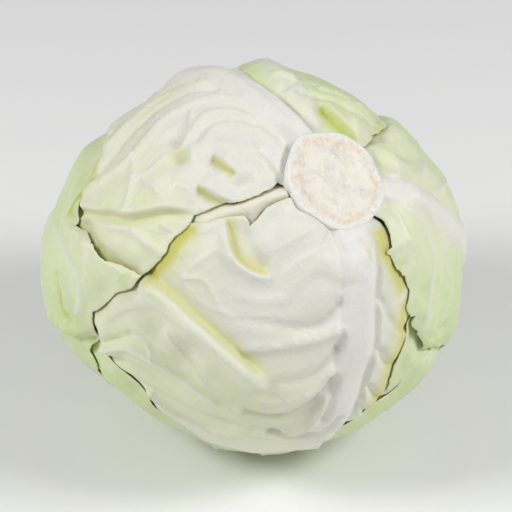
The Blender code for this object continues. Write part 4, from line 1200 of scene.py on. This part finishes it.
def leaf_r():
    """The top right leaf, with a sharp fold beside the stem and painted dark green shade below it."""
    stalk = round_stem((108, 20), (104, 44), (96, 70), (86, 96), (70, 122))
    slit = seen((316, 104), (328, 114), (344, 127), (362, 144))
    return Leaf(
        "leaf_r", "green_leaf", 5, round_stem((82, 74)),
        [
            foot(130, 62),
            seen((365, 145), (370, 140), (378, 131)),
            seen((387, 126), (384, 116), (379, 109)),
            round_stem((56, 62), (50, 78), (44, 96), (36, 114), (24, 130), (4, 144)),
            round_stem(
                (350, 152), (358, 168), (120, 170), (136, 154), (138, 136), (134, 116), (130, 96),
                (128, 76), (128, 56), (130, 34),
            ),
        ],
        ribs=[(stalk, 5.5, 1.3, 0.8)],
        veins=[*branches(stalk, (0.4, 0.55, 0.7, 0.85), (1, -1), 44, 1.0, 0.7)],
        folds=[(slit, 2.2, 2.6)],
        waves=[
            (seen((276, 76), (300, 82), (325, 90), (345, 100), (366, 112)), 1.8, 1.3, 1.0),
            (seen((300, 94), (325, 100), (350, 112), (374, 122)), 1.8, -1.3, -1.0),
            (seen((310, 84), (335, 92), (352, 104)), 1.6, -1.2, -0.8),
            (seen((284, 88), (296, 82), (310, 84), (322, 92)), 1.8, -1.2, -0.8),
        ],
        bumps=[(seen((360, 126), (350, 106)), 4.5, 1.2), (round_stem((44, 118), (70, 140)), 8, -1.8)],
        crumples=[(seen((366, 126), (352, 118)), 7, 0.7, 8)],
        # Painted shade below the fold and beside the margin over the right leaf.
        painted_shade_and_streak=[(slit, 4.0, 0.9, -1), (slit, 1.0, 0.6), (seen((376, 118), (384, 126), (372, 138)), 1.6, 0.7)],
        tint=[(seen((300, 110)), 20, -0.2)],
        green=0.8,
    )


def leaf_u():
    """The big upper left leaf, with its midrib over the top and its blade pleated to the left."""
    over_top = round_stem((124, 66), (126, 84), (128, 104), (130, 124))
    midrib = [*seen((318, 150), (300, 134), (280, 112), (258, 93), (234, 79)), *over_top]
    long_rib = seen(
        (240, 100), (215, 98), (190, 106), (165, 120), (150, 136), (134, 157), (108, 177), (86, 194),
    )
    groove = seen((213, 89), (190, 92), (165, 103), (145, 120), (128, 138), (112, 160), (96, 178))
    laterals = [
        (long_rib, 1.5, 1.5, 1.1),
        (groove, 1.5, -1.3, -1.0),
        (seen((205, 84), (180, 90), (155, 102), (130, 124), (110, 148)), 1.5, 1.2, 1.0),
        (seen((196, 80), (165, 92), (135, 114), (112, 138)), 1.4, -1.1, -0.9),
        (seen((250, 118), (228, 112), (206, 116), (194, 130), (188, 142)), 2.2, 1.3, 1.0),
        (seen((258, 132), (236, 126), (214, 130), (204, 142)), 2.2, 1.0, 0.8),
        (seen((256, 124), (232, 119), (208, 124), (198, 140)), 1.8, -1.1, -0.8),
    ]
    cells = [
        (seen((134, 157), (135, 172), (131, 190), (126, 212)), 0.9, 0.9, 0.6),
        (seen((134, 178), (150, 172), (162, 160), (176, 151), (186, 144)), 0.9, 0.9, 0.7),
        (seen((146, 180), (160, 192), (172, 208)), 0.8, 0.7, 0.4),
        (seen((192, 150), (194, 164), (200, 172), (208, 173), (212, 164)), 0.9, 1.1, 1.0),
        (seen((196, 172), (198, 176), (216, 178), (232, 172)), 0.8, 0.8, 0.6),
        (seen((176, 185), (192, 192), (190, 208)), 0.8, 0.6, 0.4),
        (seen((192, 111), (189, 128), (187, 142)), 0.8, 0.8, 0.6),
        (seen((160, 224), (172, 232), (168, 238)), 0.8, 0.6, 0.4),
        (seen((131, 230), (128, 218), (126, 212)), 0.8, 0.6, 0.5),
    ]
    low_vein = seen((72, 218), (84, 216), (104, 225), (128, 230), (142, 241), (156, 252))
    pleat = seen(
        (72, 206), (96, 212), (112, 212), (126, 216), (142, 214), (160, 211), (178, 210), (196, 211),
    )
    crease = seen((112, 128), (105, 146), (99, 162), (88, 187), (77, 210), (73, 224))
    upper_slit = seen((212, 154), (226, 166), (237, 175))
    lower_slit = seen((197, 185), (216, 197), (234, 204))
    flap = seen((260, 150), (266, 158), (274, 167), (282, 174), (292, 182))
    return Leaf(
        "leaf_u", "pale_leaf", 6, seen((150, 130)),
        [
            seen((313, 131), (302, 121), (290, 112), (277, 97), (262, 84), (252, 75)),
            [*seen((242, 69)), *round_stem((108, 70), (104, 90), (100, 110), (98, 130))],
            round_stem((98, 146), (120, 162), (160, 160), (178, 144), (176, 124), (170, 106), (168, 94)),
            seen((66, 170), (58, 196), (56, 214), (62, 236), (84, 258), (104, 274), (122, 284)),
            seen((134, 278), (146, 269), (161, 253), (169, 238), (184, 226)),
            seen((191, 213), (203, 210), (214, 205), (228, 202), (242, 201), (256, 196), (270, 188)),
            seen((279, 178), (284, 180)),
            foot(192, 114),
        ],
        ribs=[(midrib, 5.6, 4.4, 0.6)],
        veins=[
            *cells,
            (low_vein, 1.2, 1.3, 0.6),
            *branches(over_top, (0.35, 0.6, 0.85), (1, -1), 40, 1.0, 0.6),
        ],
        waves=[
            *laterals,
            (seen((296, 146), (270, 126), (245, 112), (222, 106)), 3.0, -1.8, -0.6),
            (seen((184, 226), (170, 238), (161, 253), (146, 269), (134, 278)), 2.2, 0.4, 0.4),
            (seen((203, 208), (228, 200), (256, 194)), 1.6, 0.3, 0.3),
            (seen((76, 204), (70, 216), (74, 230), (86, 246)), 2.6, 1.6, 1.2),
        ],
        folds=[
            (pleat, 2.2, 2.8), (crease, 2.2, 3.0),
            (upper_slit, 1.4, 2.4), (lower_slit, 1.4, 2.2), (flap, 1.2, 1.2),
        ],
        bumps=[
            (seen((173, 137), (180, 158), (238, 186)), 3.6, -2.0),
            (seen((200, 160)), 3.0, -1.2),
            (seen((192, 152), (224, 146), (186, 176), (212, 184)), 5.0, 1.5),
            (seen((250, 174), (160, 178), (250, 152)), 5.0, 1.5),
            (seen((112, 240), (140, 246)), 9, -1.0),
            (round_stem((140, 110), (120, 134), (156, 140)), 9, -1.8),
        ],
        ripples=[
            (seen((155, 112), (130, 140), (105, 165)), 2.6, 0.25, 2.4),
            (seen((145, 140), (115, 168), (92, 190)), 2.2, 0.20, 2.2),
        ],
        crumples=[(seen((206, 160), (232, 160), (222, 186), (246, 164)), 8, 1.0, 9)],
        # Painted shade in the slits, a dimple, under the pleat and the crease, and beside the left leaf's
        # margin.
        painted_shade_and_streak=[
            (upper_slit, 2.2, 1.0, -1),
            (lower_slit, 2.4, 1.0, -1),
            (seen((172, 150), (182, 158), (178, 166)), 3.5, 0.4),
            (pleat, 2.6, 0.45, -1),
            (seen((74, 224), (90, 240), (106, 258), (122, 264)), 2.6, 0.2),
            (seen((104, 150), (94, 178), (80, 205), (72, 224)), 1.6, 0.7),
        ],
        cut=[
            (seen((304, 132), (284, 110), (262, 88)), 2.6),
            (seen((268, 152), (278, 156), (288, 164)), 3.0),
        ],
        tint=[
            (seen((110, 240), (150, 232)), 24, 0.45),
            (seen((240, 120), (280, 130)), 30, -0.5),
            (seen((176, 148)), 10, 0.3),
            (round_stem((125, 100), (145, 125), (140, 150)), 34, 0.55),
        ],
        green=0.45,
        free=0.5,
    )


def leaf_l():
    """The left leaf, with a lobe over the front leaf and a curled flap at the lower left."""
    hidden = round_stem((172, 100), (180, 118), (194, 134), (212, 146))
    return Leaf(
        "leaf_l", "green_leaf", 7, round_stem((200, 110)),
        [
            [*round_stem((147, 88)), *seen((105, 133), (98, 150), (86, 183), (77, 210))],
            seen((74, 223), (81, 230), (89, 242), (95, 252), (106, 262), (118, 266)),
            seen((138, 276), (131, 286), (124, 290), (112, 294), (100, 306)),
            seen((88, 314), (87, 326), (89, 343), (86, 353), (94, 367)),
            [*seen((94, 375)), *round_stem((228, 124), (234, 138), (228, 152), (204, 160))],
            round_stem((176, 160), (156, 148), (146, 130), (143, 112), (144, 98)),
        ],
        veins=[
            (seen((57, 222), (62, 240), (72, 264), (81, 290), (76, 314)), 1.2, 1.4, 0.9),
            (hidden, 1.8, 1.6, 1.0),
            (seen((84, 236), (86, 262), (84, 290)), 0.8, 0.7, 0.4),
            *branches(hidden, (0.2, 0.5, 0.8), (1, -1), 34, 0.9, 0.6),
        ],
        waves=[
            (seen((57, 276), (61, 290), (64, 305), (70, 319)), 1.6, -2.6, -3.0),
            (seen((63, 276), (67, 292), (70, 305)), 2.0, 1.2, 1.2),
            (seen((104, 150), (92, 178), (78, 208), (73, 222)), 3.4, -4.0, -4.4),
            (seen((74, 240), (96, 262), (112, 276)), 4.0, 1.2, 1.0),
            (seen((70, 226), (90, 246), (108, 264), (132, 278)), 1.8, 0.9, 1.4),
            (seen((56, 314), (70, 330), (82, 332)), 2.4, 1.8, 2.0),
            (seen((62, 326), (74, 338), (86, 342)), 2.0, -1.6, -1.6),
        ],
        bumps=[
            (seen((52, 316), (84, 344)), 4.0, 1.6),
            (seen((100, 290)), 5, -1.4),
            (round_stem((206, 134), (184, 146)), 8, -1.8),
        ],
        ripples=[(seen((96, 140), (76, 172), (64, 200), (56, 222)), 3.0, 0.30, 2.6)],
        crumples=[(seen((62, 322), (78, 340)), 7, 1.0, 8), (seen((118, 280)), 6, 0.6, 7)],
        # Painted shade in the flap's groove and along the crease under the upper leaf.
        painted_shade_and_streak=[
            (seen((57, 276), (61, 290), (64, 305), (70, 319)), 1.6, 1.0),
            (seen((101, 146), (88, 178), (74, 208), (69, 222)), 1.8, 0.9),
        ],
        tint=[(seen((80, 250), (110, 275)), 18, -0.3), (seen((60, 320), (84, 350)), 14, 0.4)],
        green=0.6,
        free=0.35,
        hug=1.2,
    )


# Room


def make_room():
    """A plain pale floor, soft lights and a camera where the photograph's was."""
    right, up, toward = (Vector(axis) for axis in AXES.tolist())
    shift = [(PHOTO_MIDDLE[0] - HEAD_PIXEL[0]) * PIXEL, (HEAD_PIXEL[1] - PHOTO_MIDDLE[1]) * PIXEL]
    aim = HEAD_CENTRE + shift[0] * right + shift[1] * up
    mesh = bpy.data.meshes.new("floor")
    corners = [(x * FLOOR_HALF, y * FLOOR_HALF, 0) for x, y in ((-1, -1), (1, -1), (1, 1), (-1, 1))]
    mesh.from_pydata(corners, [], [(0, 1, 2, 3)])
    mesh.materials.append(plain_material("floor_pale", FLOOR_PALE, 0.8))
    new_object("floor", mesh)
    world = bpy.data.worlds.new("studio")
    world.use_nodes = True
    sky = world.node_tree.nodes["Background"]
    sky.inputs["Color"].default_value = (1.0, 1.0, 1.0, 1.0)
    sky.inputs["Strength"].default_value = WORLD_LIGHT
    bpy.context.scene.world = world
    for name, place, size, power in LIGHTS:
        lamp = bpy.data.lights.new(name, "AREA")
        lamp.shape = "SQUARE"
        lamp.size = size
        lamp.energy = power
        light = new_object(name, lamp)
        light.location = aim + Vector(place)
        light.rotation_euler = (-Vector(place)).to_track_quat("-Z", "Y").to_euler()
    eye = new_object("camera", bpy.data.cameras.new("camera"))
    eye.data.sensor_width = SENSOR
    eye.data.lens = SENSOR * CAMERA_AWAY / (PHOTO_WIDTH * PIXEL)
    eye.data.clip_start, eye.data.clip_end = 0.05, 20.0
    eye.location = aim + CAMERA_AWAY * toward
    eye.rotation_euler = (math.pi / 2 - CAMERA_DOWN, 0.0, 0.0)
    bpy.context.scene.camera = eye
    bpy.context.scene.view_settings.view_transform = "Standard"


def main():
    inner = leaf_material("inner_leaf_skin", CREAM, LEAF_PALE, INNER_RIB, SHADE_AND_STREAK_YELLOW)
    pale = leaf_material("pale_leaf_skin", CREAM, LEAF_PALE, RIB_WHITE, SHADE_AND_STREAK_YELLOW)
    green = leaf_material("green_leaf_skin", LEAF_PALE, LEAF_FRESH, RIB_WHITE, PAINTED_SHADE_GREEN)
    skins = {"inner_leaf": inner, "pale_leaf": pale, "green_leaf": green}
    leaves = [leaf_c(), leaf_a(), leaf_b(), leaf_s(), leaf_r(), leaf_u(), leaf_l()]
    pile = Pile()
    make_heart(pile, leaves, inner)
    make_stem(stem_material())
    for k, leaf in enumerate(leaves):
        make_leaf(leaf, leaves[k + 1 :], pile, skins[leaf.slot], rests=leaf.name == "leaf_b")
    make_room()


main()
